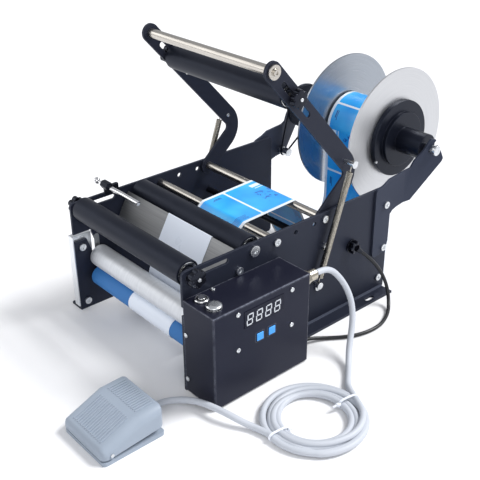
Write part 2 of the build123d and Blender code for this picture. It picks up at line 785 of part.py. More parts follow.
def button_parts():
    """Two square keys, a ringed push button, a domed button and the bezels of the last two."""
    right = outer + box_width
    keys = []
    for index in range(2):
        y = behind(key_first_back) + index * key_pitch
        half = key_size / 2
        key = block(right - box_wall, right + key_stand, y - half, y + half, key_height - half, key_height + half)
        key = fillet(key.faces().sort_by(Axis.X)[-1].edges(), key_stand / 3)
        keys.append(key + rod(key_stem, right - box_wall - button_stem, right - box_wall, y, key_height))
    top, y = box_height, behind(push_back)
    push_x, dome_x = outer + push_out, outer + dome_out
    low = top - box_wall - button_stem
    push = upright(push_plunger_radius, push_x, y, low, top + push_bezel_height + push_plunger_stand)
    push = fillet(push.edges().sort_by(Axis.Z)[-1], push_plunger_stand / 2)
    ring = upright(push_radius, push_x, y, top, top + push_bezel_height)
    ring = chamfer(ring.edges().sort_by(Axis.Z)[-1], push_bezel_height / 3)
    ring -= upright(push_plunger_radius + fit_gap, push_x, y, top - overrun, top + push_bezel_height + overrun)
    collar = upright(dome_radius, dome_x, y, top, top + dome_collar_height)
    collar -= upright(dome_stem_radius + fit_gap, dome_x, y, top - overrun, top + dome_collar_height + overrun)
    dome_bottom = top + dome_collar_height + running_gap + key_travel
    dome = upright(dome_radius, dome_x, y, dome_bottom, dome_bottom + dome_height)
    dome = fillet(dome.edges().sort_by(Axis.Z)[-1], dome_height * 0.8)
    dome += upright(dome_stem_radius, dome_x, y, low, dome_bottom)
    return keys[0], keys[1], push, dome, together([ring, collar])


def sensor_parts():
    """Sensor block inside the right plate, and the clamp of its lead outside."""
    y, z = behind(sensor_back), sensor_height
    sensor = block(inner - sensor_width, inner, y - sensor_length / 2, y + sensor_length / 2,
                   z - sensor_rise / 2, z + sensor_rise / 2)
    sensor = fillet(sensor.faces().sort_by(Axis.X)[0].edges(), sensor_lens_height)
    sensor += rod(sensor_lens_radius, inner - sensor_width - sensor_lens_height, inner - sensor_width, y, z)
    plug = block(outer, outer + socket_width, y - socket_length / 2, y + socket_length / 2,
                 z - socket_rise / 2, z + socket_rise / 2)
    plug = fillet(plug.faces().sort_by(Axis.X)[-1].edges(), light_gap)
    away = (Vector(*lead_points[1]) - Vector(*lead_points[0])).normalized()
    mouth = Plane(origin=Vector(*lead_points[0]), z_dir=-away)
    return sensor, plug + extrude(mouth * Circle(boot_radius), boot_start * boot_radius)


def stop_parts():
    """Bottle stop: a sliding rod in a clamp on the left plate's top edge."""
    y, z = behind(stop_rod_back), stop_rod_height
    half = clamp_length / 2
    profile = outline(((-outer, plate_height), (-inner, plate_height), (-inner, clamp_bottom),
                       (-inner + clamp_cheek, clamp_bottom), (-inner + clamp_cheek, clamp_shelf),
                       (-inner + clamp_reach, clamp_shelf), (-inner + clamp_reach, clamp_top), (-outer, clamp_top)))
    section = Plane(origin=(0, y + half, 0), x_dir=(1, 0, 0), z_dir=(0, -1, 0))
    clamp = extrude(section * profile, clamp_length)
    uprights = clamp.faces().sort_by(Axis.Z)[-1].edges()
    clamp = fillet(uprights, clamp_corner)
    clamp -= rod(stop_rod_radius + fit_gap, -outer - overrun, -inner + clamp_reach + overrun, y, z)
    stop = rod(stop_rod_radius, -stop_rod_reach, -stop_rod_end, y, z)
    stop = fillet(stop.edges().sort_by(Axis.X)[-1], stop_rod_radius / 4)
    stop += rod(stop_neck_radius, -stop_rod_reach - stop_knob_radius, -stop_rod_reach, y, z)
    stop += Pos(-stop_rod_reach - stop_knob_radius, y, z) * Sphere(stop_knob_radius)
    return clamp, stop


def nip_tab():
    """Thin strip against the right plate that keeps the nip roller's axle in its seat."""
    y, z = behind(nip_roller_back), nip_roller_height
    face = slot_face(y, z - nip_tab_drop / 2, y, z + nip_tab_rise - nip_tab_width / 2, nip_tab_width)
    face += Pos(y, z) * Circle(nip_axle_radius + nip_tab_width / 2)
    face -= Pos(y, z) * Circle(nip_axle_radius + fit_gap)
    return side_slab(face, inner - nip_tab_thickness, nip_tab_thickness)


def side_rail():
    """Aluminium rail outside the left plate, with a lip round its front edge."""
    profile = outline(((-outer - rail_width, front - rail_lip), (-inner - plate_thickness + rail_lip_reach, front - rail_lip),
                       (-inner - plate_thickness + rail_lip_reach, front), (-outer, front),
                       (-outer, front + rail_depth), (-outer - rail_width, front + rail_depth)))
    bottom = plate_thickness + foot_bend
    return Pos(0, 0, bottom) * extrude(profile, rail_top - bottom)


def pedal_parts():
    """Foot pedal: a base with a hinge pin between lugs, and a hollow wedge with a ribbed tread."""
    left, right = pedal_x - pedal_width / 2, pedal_x + pedal_width / 2
    near, far = pedal_y - pedal_length / 2, pedal_y + pedal_length / 2
    hinge_y, hinge_z = near + pedal_hinge_inset, pedal_hinge_height
    wedge = side_slab(outline(((near, pedal_skirt_front), (far, pedal_skirt_back), (far, pedal_back_height),
                               (near, pedal_front_height))), left, pedal_width)
    wedge = fillet(wedge.edges().filter_by(Axis.Z), pedal_corner)
    slope = atan2(pedal_back_height - pedal_front_height, pedal_length)
    inside = side_slab(outline(((near + pedal_wall, 0), (far - pedal_wall, 0),
                                (far - pedal_wall, pedal_back_height - pedal_wall - pedal_wall * tan(slope)),
                                (near + pedal_wall, pedal_front_height - pedal_wall + pedal_wall * tan(slope)))),
                       left + pedal_wall, pedal_width - 2 * pedal_wall)
    treadle = wedge - inside
    pitch = (pedal_length - 2 * pedal_wall) / pedal_ribs
    band = pedal_width * pedal_band_share / 2
    tread = Plane(origin=(pedal_x, near, pedal_front_height), x_dir=(1, 0, 0),
                  z_dir=(0, -sin(slope), cos(slope)))
    for index in range(1, pedal_ribs):
        along = pedal_wall + index * pitch
        spread = band * (1 + 2 * index / pedal_ribs)
        reach = pedal_width / 2 - pedal_wall - spread
        for side in (-1, 1):
            rib = Pos(side * (spread + reach / 2), along / cos(slope), 0) * Box(
                reach, pedal_rib_width, pedal_rib_height, align=(Align.CENTER, Align.CENTER, Align.MIN))
            treadle += tread * rib
    pin_bore = rod(pedal_pin_radius + fit_gap, left - overrun, right + overrun, hinge_y, hinge_z)
    treadle -= pin_bore
    margin = pedal_base_margin
    base = block(left + margin, right - margin, near + margin, far - margin, 0, pedal_base_height)
    base = fillet(base.edges().filter_by(Axis.Z), pedal_corner)
    lug_start = pedal_width / 2 - pedal_wall - pedal_lug_gap - pedal_lug_thickness
    lug_half = pedal_pin_radius * 2
    for side in (-1, 1):
        centre = pedal_x + side * (lug_start + pedal_lug_thickness / 2)
        half = pedal_lug_thickness / 2
        base += block(centre - half, centre + half, hinge_y - lug_half, hinge_y + lug_half,
                      pedal_base_height, hinge_z)
        base += rod(pedal_pin_radius, centre - half, centre + half, hinge_y, hinge_z)
    base += rod(pedal_pin_radius, left, right, hinge_y, hinge_z)
    switch = pedal_switch_size / 2
    base += block(pedal_x - switch, pedal_x + switch, pedal_y, pedal_y + pedal_switch_size,
                  pedal_base_height, pedal_base_height + pedal_switch_height)
    cord_x, cord_y, cord_z = pedal_end_points[-1]
    relief = Pos(cord_x, cord_y, cord_z) * Rot(90, 0, 0) * Cylinder(
        pedal_relief_radius, cord_y - far - pedal_relief_gap, align=(Align.CENTER, Align.CENTER, Align.MIN))
    tongue = block(cord_x - pedal_relief_radius, cord_x + pedal_relief_radius, far - pedal_corner,
                   far + pedal_relief_gap + light_gap, 0, pedal_base_height)
    base = base + tongue + relief
    return base, treadle


def cord(points, radius, name):
    """Round cord along straight runs joined by tangent arcs."""
    places = [Vector(*point) for point in points]
    radii = []
    for before, here, after in zip(places, places[1:], places[2:]):
        turn = (here - before).get_angle(after - here)
        run = min((here - before).length, (after - here).length)
        radii.append(run * 0.45 / tan(radians(turn / 2)))
    path = FilletPolyline(*points, radius=radii)
    solid = sweep(Plane(origin=path @ 0, z_dir=path % 0) * Circle(radius), path=path)
    section = Circle(radius).area
    print(name, "radii", [round(value) for value in radii], "length", round(path.length),
          "volume share", round(solid.volume / (section * path.length), 4))
    return solid


def cord_coil():
    """Outer shape of the tied coil, and its two ties."""
    height = 2 * pedal_cord_radius
    low = tie_thickness
    ring = upright(coil_outer, coil_x, coil_y, low, low + height)
    ring -= upright(coil_inner, coil_x, coil_y, low - overrun, low + height + overrun)
    ring = fillet(ring.edges(), pedal_cord_radius * 0.9)
    middle, breadth = (coil_outer + coil_inner) / 2, coil_outer - coil_inner
    ties = []
    for angle in tie_angles:
        band = Box(breadth + 2 * tie_thickness + 2 * running_gap, tie_width, height + tie_thickness + running_gap,
                   align=(Align.CENTER, Align.CENTER, Align.MIN))
        room = Pos(0, 0, low - running_gap) * Box(breadth + 2 * running_gap, 2 * tie_width, height + 2 * running_gap,
                                                 align=(Align.CENTER, Align.CENTER, Align.MIN))
        lid = Pos(0, 0, low + height + running_gap) * Box(
            breadth + 2 * tie_thickness + 2 * running_gap, tie_width, tie_thickness,
            align=(Align.CENTER, Align.CENTER, Align.MIN))
        ties.append(Pos(coil_x, coil_y, 0) * Rot(0, 0, angle) * Pos(middle, 0, 0) * (band - room + lid))
    return ring, together(ties)


def roller_parts():
    """Rollers with their axles and knobs."""
    made = {}
    end = inner - roller_end_gap
    for name, back, height, radius, bore in (
            ("front_roller", front_roller_back, front_roller_height, front_roller_radius, axle_radius + fit_gap),
            ("rear_roller", rear_roller_back, rear_roller_height, rear_roller_radius, rear_axle_radius + fit_gap)):
        made[name] = roller(radius, bore, end, behind(back), height)
    y, z = behind(front_roller_back), front_roller_height
    made["front_axle"] = rod(axle_radius, -outer - knob_height, outer + knob_height, y, z)
    knob = star_knob(outer, y, z) - rod(axle_radius, 0, outer + knob_height, y, z)
    made["front_knobs"] = together([knob, mirrored(knob)])
    y, z = behind(rear_roller_back), rear_roller_height
    head = bolt_head(outer, y, z, radius=rear_axle_radius + bolt_head_height, height=bolt_head_height)
    made["rear_axle"] = rod(rear_axle_radius, -outer, outer, y, z) + head + mirrored(head)
    y, z = behind(nip_roller_back), nip_roller_height
    shaft = rod(nip_axle_radius, -outer - nip_axle_reach, outer + nip_axle_reach, y, z)
    made["nip_roller"] = shaft + rod(nip_roller_radius, -end, end, y, z)
    y, z = behind(drive_roller_back), drive_roller_height
    shaft = rod(drive_shaft_radius, -outer, outer + drive_shaft_reach, y, z)
    made["drive_roller"] = shaft + rod(drive_roller_radius, -end, end, y, z)
    made["gear_motor"] = tube(motor_radius, drive_shaft_radius + fit_gap, outer, outer + motor_length, y, z)
    place = along_arm(top_axle_along)
    arm_outside = inner - arm_side_gap
    made["top_roller"] = roller(top_roller_radius, axle_radius + fit_gap,
                                arm_outside - arm_thickness - top_roller_end_gap, *place)
    made["top_axle"] = rod(axle_radius, -arm_outside - knob_height, arm_outside + knob_height, *place)
    knob = star_knob(arm_outside, *place) - rod(axle_radius, 0, arm_outside + knob_height, *place)
    made["top_knobs"] = together([knob, mirrored(knob)])
    return made


def main():
    os.makedirs("parts", exist_ok=True)
    nodes = roller_parts()
    nodes["side_plate_right"] = side_plate(True)
    nodes["side_plate_left"] = mirrored(side_plate(False))
    nodes["reel_bracket_right"] = bracket()
    hole = rod(brake_stud_radius + fit_gap, -outer - bracket_reach, 0, behind(brake_knob_back), brake_knob_height)
    nodes["reel_bracket_left"] = mirrored(bracket()) - hole
    nodes["guide_rod"] = cross_rod(guide_rod_radius, guide_rod_back, guide_rod_height)
    nodes["pivot_shaft"] = cross_rod(pivot_radius, pivot_back, pivot_height)
    nodes["tie_rod"] = cross_rod(tie_rod_radius, tie_rod_back, tie_rod_height)
    nodes["peel_plate"], nodes["peel_bar"] = peel_parts()
    nodes["side_rail"] = side_rail()
    nodes["nip_tabs"] = together([nip_tab(), mirrored(nip_tab())])
    nodes["frame_bolts"] = frame_bolts()
    nodes["label_tape"], nodes["backing_tape"] = tape_parts()
    nodes["reel_axle"] = reel_axle()
    (nodes["reel_disc_left"], nodes["reel_disc_right"], nodes["reel_hub"], nodes["label_roll"],
     nodes["brake_drum"]) = reel_parts()
    nodes["brake_belt"], nodes["brake_knob"] = brake_parts()
    nodes["arm_right"] = arm()
    nodes["arm_left"] = mirrored(arm())
    nodes["handle_bar"] = handle_bar()
    pin_y, pin_z = behind(pivot_back) + spring_pin_back, pivot_height + spring_pin_rise
    pin = spring_post(inner - arm_side_gap, spring_pin_reach, pin_y, pin_z)
    nodes["spring_pins"] = together([pin, mirrored(pin)])
    nodes["spring_right"] = spring(outer + spring_out)
    nodes["spring_left"] = mirrored(spring(outer + spring_out))
    nodes["stop_clamp"], nodes["stop_rod"] = stop_parts()
    nodes["control_box"] = control_box()
    x = outer + box_width
    nodes["display_window"] = block(x, x + window_thickness, behind(window_back), behind(window_back) + window_length,
                                    window_bottom, window_bottom + window_height)
    (nodes["key_front"], nodes["key_back"], nodes["push_button"], nodes["dome_button"],
     nodes["button_bezels"]) = button_parts()
    nodes["cord_gland"] = cord_gland()
    nodes["power_inlet"] = power_inlet()
    nodes["lead_grommet"] = lead_grommet()
    nodes["label_sensor"], nodes["sensor_plug"] = sensor_parts()
    nodes["sensor_lead"] = cord(lead_points, lead_radius, "sensor lead")
    nodes["pedal_base"], nodes["pedal_treadle"] = pedal_parts()
    nodes["pedal_cord_start"] = cord(pedal_cord_points, pedal_cord_radius, "pedal cord, box end")
    nodes["pedal_cord_end"] = cord(pedal_end_points, pedal_cord_radius, "pedal cord, pedal end")
    nodes["pedal_cord_coil"], nodes["cord_ties"] = cord_coil()
    # The origin of the finished part is the middle of its footprint, measured without its cords
    body = [solid for name, solid in nodes.items() if name not in cord_names]
    low = min(solid.bounding_box().min.X for solid in body), min(solid.bounding_box().min.Y for solid in body)
    high = max(solid.bounding_box().max.X for solid in body), max(solid.bounding_box().max.Y for solid in body)
    middle = Pos(-(low[0] + high[0]) / 2, -(low[1] + high[1]) / 2, 0)
    print("moved by", middle.position)
    for name, solid in nodes.items():
        export_step(middle * solid, f"parts/{name}.step")
    print(len(nodes), "sub-parts")


main()
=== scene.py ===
import bpy
import bmesh
import json
from functools import partial
from math import atan2, cos, hypot, pi, radians, sin, sqrt
from mathutils import Matrix, Vector

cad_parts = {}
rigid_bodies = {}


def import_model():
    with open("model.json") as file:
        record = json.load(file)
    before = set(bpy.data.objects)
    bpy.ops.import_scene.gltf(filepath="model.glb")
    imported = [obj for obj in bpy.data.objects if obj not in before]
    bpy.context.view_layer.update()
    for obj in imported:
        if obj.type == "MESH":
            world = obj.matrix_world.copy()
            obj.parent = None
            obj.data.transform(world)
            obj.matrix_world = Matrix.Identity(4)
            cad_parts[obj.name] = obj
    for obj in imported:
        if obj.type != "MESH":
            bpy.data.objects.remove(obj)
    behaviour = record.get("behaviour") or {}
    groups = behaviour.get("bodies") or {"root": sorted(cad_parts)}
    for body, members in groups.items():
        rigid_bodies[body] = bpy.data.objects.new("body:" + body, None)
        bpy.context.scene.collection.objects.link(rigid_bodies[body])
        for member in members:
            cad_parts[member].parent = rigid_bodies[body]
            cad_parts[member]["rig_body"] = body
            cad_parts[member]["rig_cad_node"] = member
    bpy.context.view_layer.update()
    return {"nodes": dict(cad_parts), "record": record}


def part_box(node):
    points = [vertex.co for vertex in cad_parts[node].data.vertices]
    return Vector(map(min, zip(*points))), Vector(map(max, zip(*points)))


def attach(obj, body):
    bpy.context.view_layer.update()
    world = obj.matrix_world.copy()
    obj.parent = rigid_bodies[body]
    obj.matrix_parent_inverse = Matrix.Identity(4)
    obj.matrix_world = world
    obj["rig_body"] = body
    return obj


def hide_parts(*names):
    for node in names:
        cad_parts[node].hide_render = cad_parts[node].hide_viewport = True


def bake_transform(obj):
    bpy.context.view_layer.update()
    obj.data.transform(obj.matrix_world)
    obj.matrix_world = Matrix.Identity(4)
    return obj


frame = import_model()
scene = bpy.context.scene
nodes = frame["nodes"]
bodyOf = {node: body for body, group in frame["record"]["behaviour"]["bodies"].items() for node in group}


# camera, at the photograph's angle
camera = {"place": (0.67185, -0.59465, 0.56911), "right": (0.65692, 0.75392, -0.00782),
          "down": (0.34837, -0.31271, -0.88366), "lens": 63.05, "shift": (0.0041, -0.0121)}
bpy.ops.object.camera_add()
photoCamera = bpy.context.object
photoCamera.name = "photoCamera"
right, up = Vector(camera["right"]).normalized(), -Vector(camera["down"]).normalized()
back = right.cross(up).normalized()
up = back.cross(right)
photoCamera.matrix_world = Matrix.Translation(camera["place"]) @ Matrix((right, up, back)).transposed().to_4x4()
photoCamera.data.lens = camera["lens"]
photoCamera.data.sensor_width = 36
photoCamera.data.shift_x, photoCamera.data.shift_y = camera["shift"]
photoCamera.data.clip_start, photoCamera.data.clip_end = 0.02, 20
scene.camera = photoCamera
print("camera placed")


# small helpers
def deselectAll():
    for other in list(bpy.context.selected_objects):
        other.select_set(False)


def pick(piece):
    deselectAll()
    piece.select_set(True)
    bpy.context.view_layer.objects.active = piece


def editAll(piece):
    pick(piece)
    bpy.ops.object.mode_set(mode="EDIT")
    bpy.ops.mesh.select_all(action="SELECT")


def settle(piece):
    pick(piece)
    bpy.ops.object.transform_apply(location=True, rotation=True, scale=True)
    return piece


def applyAll(piece):
    pick(piece)
    for modifier in list(piece.modifiers):
        bpy.ops.object.modifier_apply(modifier=modifier.name)


def roundEdges(piece, width, steps=2, turn=40):
    bevel = piece.modifiers.new("bevel", "BEVEL")
    bevel.width, bevel.segments, bevel.limit_method = width, steps, "ANGLE"
    bevel.angle_limit = radians(turn)
    applyAll(piece)


def smooth(piece, turn=40, even=False):
    pick(piece)
    bpy.ops.object.shade_smooth_by_angle(angle=radians(turn))
    if even:
        weigh = piece.modifiers.new("even", "WEIGHTED_NORMAL")
        weigh.keep_sharp = True
        weigh.weight = 60
        applyAll(piece)


def thicken(piece, thickness, offset, edge=0):
    thick = piece.modifiers.new("thick", "SOLIDIFY")
    thick.thickness, thick.offset, thick.material_offset = thickness, offset, edge
    applyAll(piece)


def paint(piece, material):
    piece.data.materials.clear()
    piece.data.materials.append(material)


def dress(piece, name, body, material):
    piece.name = name
    piece.data.name = name
    paint(piece, material)
    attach(piece, body)
    return piece


def selectFaces(piece, wanted):
    bpy.ops.object.mode_set(mode="EDIT")
    bpy.ops.mesh.select_all(action="DESELECT")
    bpy.ops.mesh.select_mode(type="FACE")
    mesh = bmesh.from_edit_mesh(piece.data)
    for face in mesh.faces:
        face.select_set(wanted(face.normal))
    mesh.select_flush(True)
    bmesh.update_edit_mesh(piece.data)


def objectMode():
    bpy.ops.object.mode_set(mode="OBJECT")


def joined(pieces):
    deselectAll()
    for piece in pieces:
        piece.select_set(True)
    bpy.context.view_layer.objects.active = pieces[0]
    if len(pieces) > 1:
        bpy.ops.object.join()
    return bpy.context.object


def copied(piece, move=(0, 0, 0), turn=None):
    twin = piece.copy()
    twin.data = piece.data.copy()
    scene.collection.objects.link(twin)
    if turn:
        twin.data.transform(turn)
    twin.data.transform(Matrix.Translation(move))
    return twin


def rod(radius, deep, place=(0, 0, 0), turn=(0, 0, 0), sides=32, fill="NGON"):
    deselectAll()
    bpy.ops.mesh.primitive_cylinder_add(vertices=sides, radius=radius, depth=deep, location=place, rotation=turn,
                                        end_fill_type=fill)
    return settle(bpy.context.object)


def bar(radius, x0, x1, y, z, sides=32, fill="NGON"):
    return rod(radius, x1 - x0, ((x0 + x1) / 2, y, z), (0, pi / 2, 0), sides, fill)


def block(size, place=(0, 0, 0), turn=(0, 0, 0)):
    deselectAll()
    bpy.ops.mesh.primitive_cube_add(size=1, location=place, rotation=turn)
    bpy.context.object.scale = size
    return settle(bpy.context.object)


def finished(piece, name, body, material, width=0, steps=2, even=False):
    if width:
        roundEdges(piece, width, steps)
    smooth(piece, even=even)
    return dress(piece, name, body, material)


def camel(node):
    first, *rest = node.split("_")
    return first + "".join(word.capitalize() for word in rest)


def middleOf(node):
    low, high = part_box(node)
    return (low + high) / 2


# shader groups
def startGroup(name, inputs, outputs):
    # a plain number makes a number socket, three numbers a vector and four a colour
    group = bpy.data.node_groups.new(name, "ShaderNodeTree")
    kinds = {1: "NodeSocketFloat", 3: "NodeSocketVector", 4: "NodeSocketColor"}
    for label, value in inputs.items():
        kind = kinds[len(value) if isinstance(value, tuple) else 1]
        group.interface.new_socket(label, in_out="INPUT", socket_type=kind).default_value = value
    for label in outputs:
        group.interface.new_socket(label, in_out="OUTPUT", socket_type=kinds[4 if label == "Colour" else 1])
    return group, group.nodes.new("NodeGroupInput").outputs, group.nodes.new("NodeGroupOutput").inputs


def addNode(tree, kind, inputs=(), **settings):
    node = tree.nodes.new("ShaderNode" + kind)
    for name, value in settings.items():
        setattr(node, name, value)
    for key, value in dict(inputs).items():
        if hasattr(value, "is_linked"):
            tree.links.new(value, node.inputs[key])
        else:
            node.inputs[key].default_value = value
    return node


def mathNode(tree, kind, *values):
    return addNode(tree, "Math", dict(enumerate(values)), operation=kind).outputs[0]


def lengthNode(tree, first, second):
    squares = [mathNode(tree, "MULTIPLY", value, value) for value in (first, second)]
    return mathNode(tree, "SQRT", mathNode(tree, "ADD", *squares))


def mixColour(tree, share, first, second):
    return addNode(tree, "Mix", {0: share, 6: first, 7: second}, data_type="RGBA").outputs[2]


def rangeNode(tree, value, *limits):
    return addNode(tree, "MapRange", {0: value, **dict(enumerate(limits, 1))}).outputs[0]


def makeSurface():
    # fine pebble and wandering tone of any coated or moulded surface, with a painted highlight along its edges, broken
    # up by noise
    group, given, made = startGroup("coatedSurface", {
        "Colour": (0.02, 0.02, 0.02, 1), "Tone And Highlight Colour": (0.2, 0.2, 0.2, 1), "Pebble Scale": 900, "Tone Scale": 9, "Tone": 0.2,
        "Rough Low": 0.35, "Rough High": 0.55, "Edge": 0.5, "Edge Width": 0.0012}, ("Colour", "Roughness", "Height"))
    calc = partial(mathNode, group)
    place = addNode(group, "TexCoord").outputs["Object"]
    pebble = addNode(group, "TexNoise", {"Vector": place, "Scale": given["Pebble Scale"]}).outputs["Fac"]
    tone = addNode(group, "TexNoise", {"Vector": place, "Scale": given["Tone Scale"], "Detail": 5}).outputs["Fac"]
    highlightNoise = addNode(group, "TexNoise", {"Vector": place, "Scale": 160}).outputs["Fac"]
    rounded = addNode(group, "Bevel", {"Radius": given["Edge Width"]}, samples=4).outputs[0]
    flat = addNode(group, "NewGeometry").outputs["Normal"]
    bent = addNode(group, "VectorMath", {0: rounded, 1: flat}, operation="DOT_PRODUCT").outputs["Value"]
    highlightBreaks = rangeNode(group, highlightNoise, 0.35, 0.65, 0.3, 1)
    # painted highlight: where the bevel normal bends away from the surface the edge is lightened, broken up by noise
    edge = calc("MULTIPLY", calc("MULTIPLY", rangeNode(group, bent, 0.995, 0.93, 0, 1), highlightBreaks), given["Edge"])
    lift = calc("MULTIPLY", rangeNode(group, tone, 0.3, 0.7, 0, 1), given["Tone"])
    lighter = mixColour(group, lift, given["Colour"], given["Tone And Highlight Colour"])
    group.links.new(mixColour(group, edge, lighter, given["Tone And Highlight Colour"]), made["Colour"])
    group.links.new(rangeNode(group, tone, 0.3, 0.7, given["Rough Low"], given["Rough High"]), made["Roughness"])
    group.links.new(pebble, made["Height"])
    return group


def makeBrushed():
    # drawn or turned lines: stretched noise on bars, noise of the radius on discs
    group, given, made = startGroup("brushedLines", {
        "Stretch": (20, 900, 900), "Centre": (0, 0, 0), "Turned": 0, "Colour": (0.6, 0.6, 0.6, 1), "Dark": (0.4, 0.4, 0.4, 1),
        "Rough Low": 0.2, "Rough High": 0.4}, ("Colour", "Roughness", "Height"))
    calc = partial(mathNode, group)
    place = addNode(group, "TexCoord").outputs["Object"]
    middle = addNode(group, "VectorMath", {0: place, 1: given["Centre"]}, operation="SUBTRACT").outputs[0]
    split = addNode(group, "SeparateXYZ", {0: middle}).outputs
    radius, around = lengthNode(group, split[1], split[2]), calc("ARCTAN2", split[1], split[2])
    ring = addNode(group, "CombineXYZ", {0: calc("MULTIPLY", radius, 1400), 1: calc("MULTIPLY", around, 1.2)}).outputs[0]
    lines = addNode(group, "VectorMath", {0: middle, 1: given["Stretch"]}, operation="MULTIPLY").outputs[0]
    choose = addNode(group, "Mix", {0: given["Turned"], 4: lines, 5: ring}, data_type="VECTOR").outputs[1]
    grain = addNode(group, "TexNoise", {"Vector": choose, "Scale": 1, "Detail": 3}).outputs["Fac"]
    share = rangeNode(group, grain, 0.3, 0.7, 0, 1)
    group.links.new(mixColour(group, share, given["Dark"], given["Colour"]), made["Colour"])
    group.links.new(rangeNode(group, grain, 0.3, 0.7, given["Rough High"], given["Rough Low"]), made["Roughness"])
    group.links.new(grain, made["Height"])
    return group


# the tape and its labels, in metres; the print's places are from a label's middle
tape = {"left": -0.0355, "width": 0.078, "thickness": 0.00015, "step": 0.0035}
label = {"half": 0.0348, "gap": 0.0014, "corner": 0.002, "paper": (0.8, 0.86, 0.93, 1), "ink": (0.012, 0.31, 0.86, 1),
         "paleInk": (0.035, 0.47, 0.96, 1), "dropInk": (0.01, 0.12, 0.5, 1), "drops": (0.004, 0.006, 0.014, 0.019)}
printBars = [((-0.0255, 0.004, 0.0034, 0.0125), (0.75, 0.86, 0.95, 1)), ((-0.0185, 0.004, 0.0009, 0.011), (0.6, 0.8, 0.95, 1))]
printBars += [((0.024 + 0.0019 * step, -0.022, 0.0005, 0.012 - 0.0012 * (step % 3)), (0.02, 0.15, 0.55, 1)) for step in range(5)]
printBars += [(place, (0.01, 0.06, 0.3, 1)) for place in ((-0.0285, -0.036, 0.0008, 0.005), (-0.0262, -0.0345, 0.0005, 0.0065))]


def makeLabelPrint():
    # printed labels on a pale backing; Along runs down the tape and Across from its left edge
    group, given, made = startGroup("labelPrint", {"Across": 0, "Along": 0, "Pitch": 0.1}, ("Colour", "Mask"))
    calc, mix = partial(mathNode, group), partial(mixColour, group)
    pitch, corner = given["Pitch"], label["corner"]
    turns = calc("FRACT", calc("DIVIDE", given["Along"], pitch))
    down = calc("MULTIPLY", calc("SUBTRACT", turns, 0.5), pitch)
    side = calc("SUBTRACT", given["Across"], tape["width"] / 2)
    outX = calc("SUBTRACT", calc("ABSOLUTE", side), label["half"] - corner)
    halfLong = calc("SUBTRACT", calc("MULTIPLY", pitch, 0.5), label["gap"] + corner)
    outY = calc("SUBTRACT", calc("ABSOLUTE", down), halfLong)
    mask = calc("LESS_THAN", lengthNode(group, calc("MAXIMUM", outX, 0), calc("MAXIMUM", outY, 0)), corner)
    spot = addNode(group, "CombineXYZ", {0: side, 1: down}).outputs[0]
    clouds = addNode(group, "TexNoise", {"Vector": spot, "Scale": 170, "Detail": 4}).outputs["Fac"]
    drift = addNode(group, "TexNoise", {"Vector": spot, "Scale": 22}).outputs["Fac"]

    def patch(x, y, halfX, halfY):
        return calc("MULTIPLY", *[calc("LESS_THAN", calc("ABSOLUTE", calc("SUBTRACT", value, middle)), half)
                                  for value, middle, half in ((side, x, halfX), (down, y, halfY))])

    # a loose wave of darker drops, a pale field and plain bars where print would be
    ink = mix(rangeNode(group, drift, 0.35, 0.65, 0, 1), label["ink"], label["paleInk"])
    drops = calc("MULTIPLY", rangeNode(group, clouds, 0.53, 0.57, 0, 1), patch(*label["drops"]))
    ink = mix(drops, ink, label["dropInk"])
    for place, colour in printBars:
        ink = mix(patch(*place), ink, colour)
    group.links.new(mix(mask, label["paper"], ink), made["Colour"])
    group.links.new(mask, made["Mask"])
    return group


surfaceGroup, brushedGroup, labelGroup = makeSurface(), makeBrushed(), makeLabelPrint()


# materials
def startMaterial(name):
    material = bpy.data.materials.new(name)
    material.use_nodes = True
    tree = material.node_tree
    return material, tree, tree.nodes["Principled BSDF"]


def addBump(tree, shader, height, strength, distance):
    bump = addNode(tree, "Bump", {"Strength": strength, "Distance": distance, "Height": height})
    tree.links.new(bump.outputs[0], shader.inputs["Normal"])


def groupMaterial(name, group, given, bump, distance, shine):
    material, tree, shader = startMaterial(name)
    look = addNode(tree, "Group", node_tree=group)
    for key, value in given.items():
        look.inputs[key].default_value = value
    tree.links.new(look.outputs["Colour"], shader.inputs["Base Color"])
    tree.links.new(look.outputs["Roughness"], shader.inputs["Roughness"])
    addBump(tree, shader, look.outputs["Height"], bump, distance)
    for key, value in shine.items():
        shader.inputs[key].default_value = value
    return material


# the second colour is the pale end of the random tone and also the colour of the painted edge highlight
def coated(name, colour, toneAndHighlightColour, rough=(0.35, 0.55), pebble=900, tone=0.1, edge=0.5, bump=0.15, specular=0.5, coat=0.0,
           toneScale=9, edgeWidth=0.0012, tint=(1, 1, 1)):
    given = {"Colour": (*colour, 1), "Tone And Highlight Colour": (*toneAndHighlightColour, 1), "Pebble Scale": pebble, "Tone Scale": toneScale,
             "Tone": tone, "Rough Low": rough[0], "Rough High": rough[1], "Edge": edge, "Edge Width": edgeWidth}
    shine = {"Specular IOR Level": specular, "Specular Tint": (*tint, 1), "Coat Weight": coat, "Coat Roughness": 0.15}
    return groupMaterial(name, surfaceGroup, given, bump, 0.0002, shine)


def brushed(name, colour, dark, rough=(0.2, 0.4), stretch=(20, 900, 900), turned=0, centre=(0, 0, 0), bump=0.1):
    given = {"Colour": (*colour, 1), "Dark": (*dark, 1), "Stretch": stretch, "Centre": centre, "Turned": turned,
             "Rough Low": rough[0], "Rough High": rough[1]}
    return groupMaterial(name, brushedGroup, given, bump, 0.00005, {"Metallic": 1})


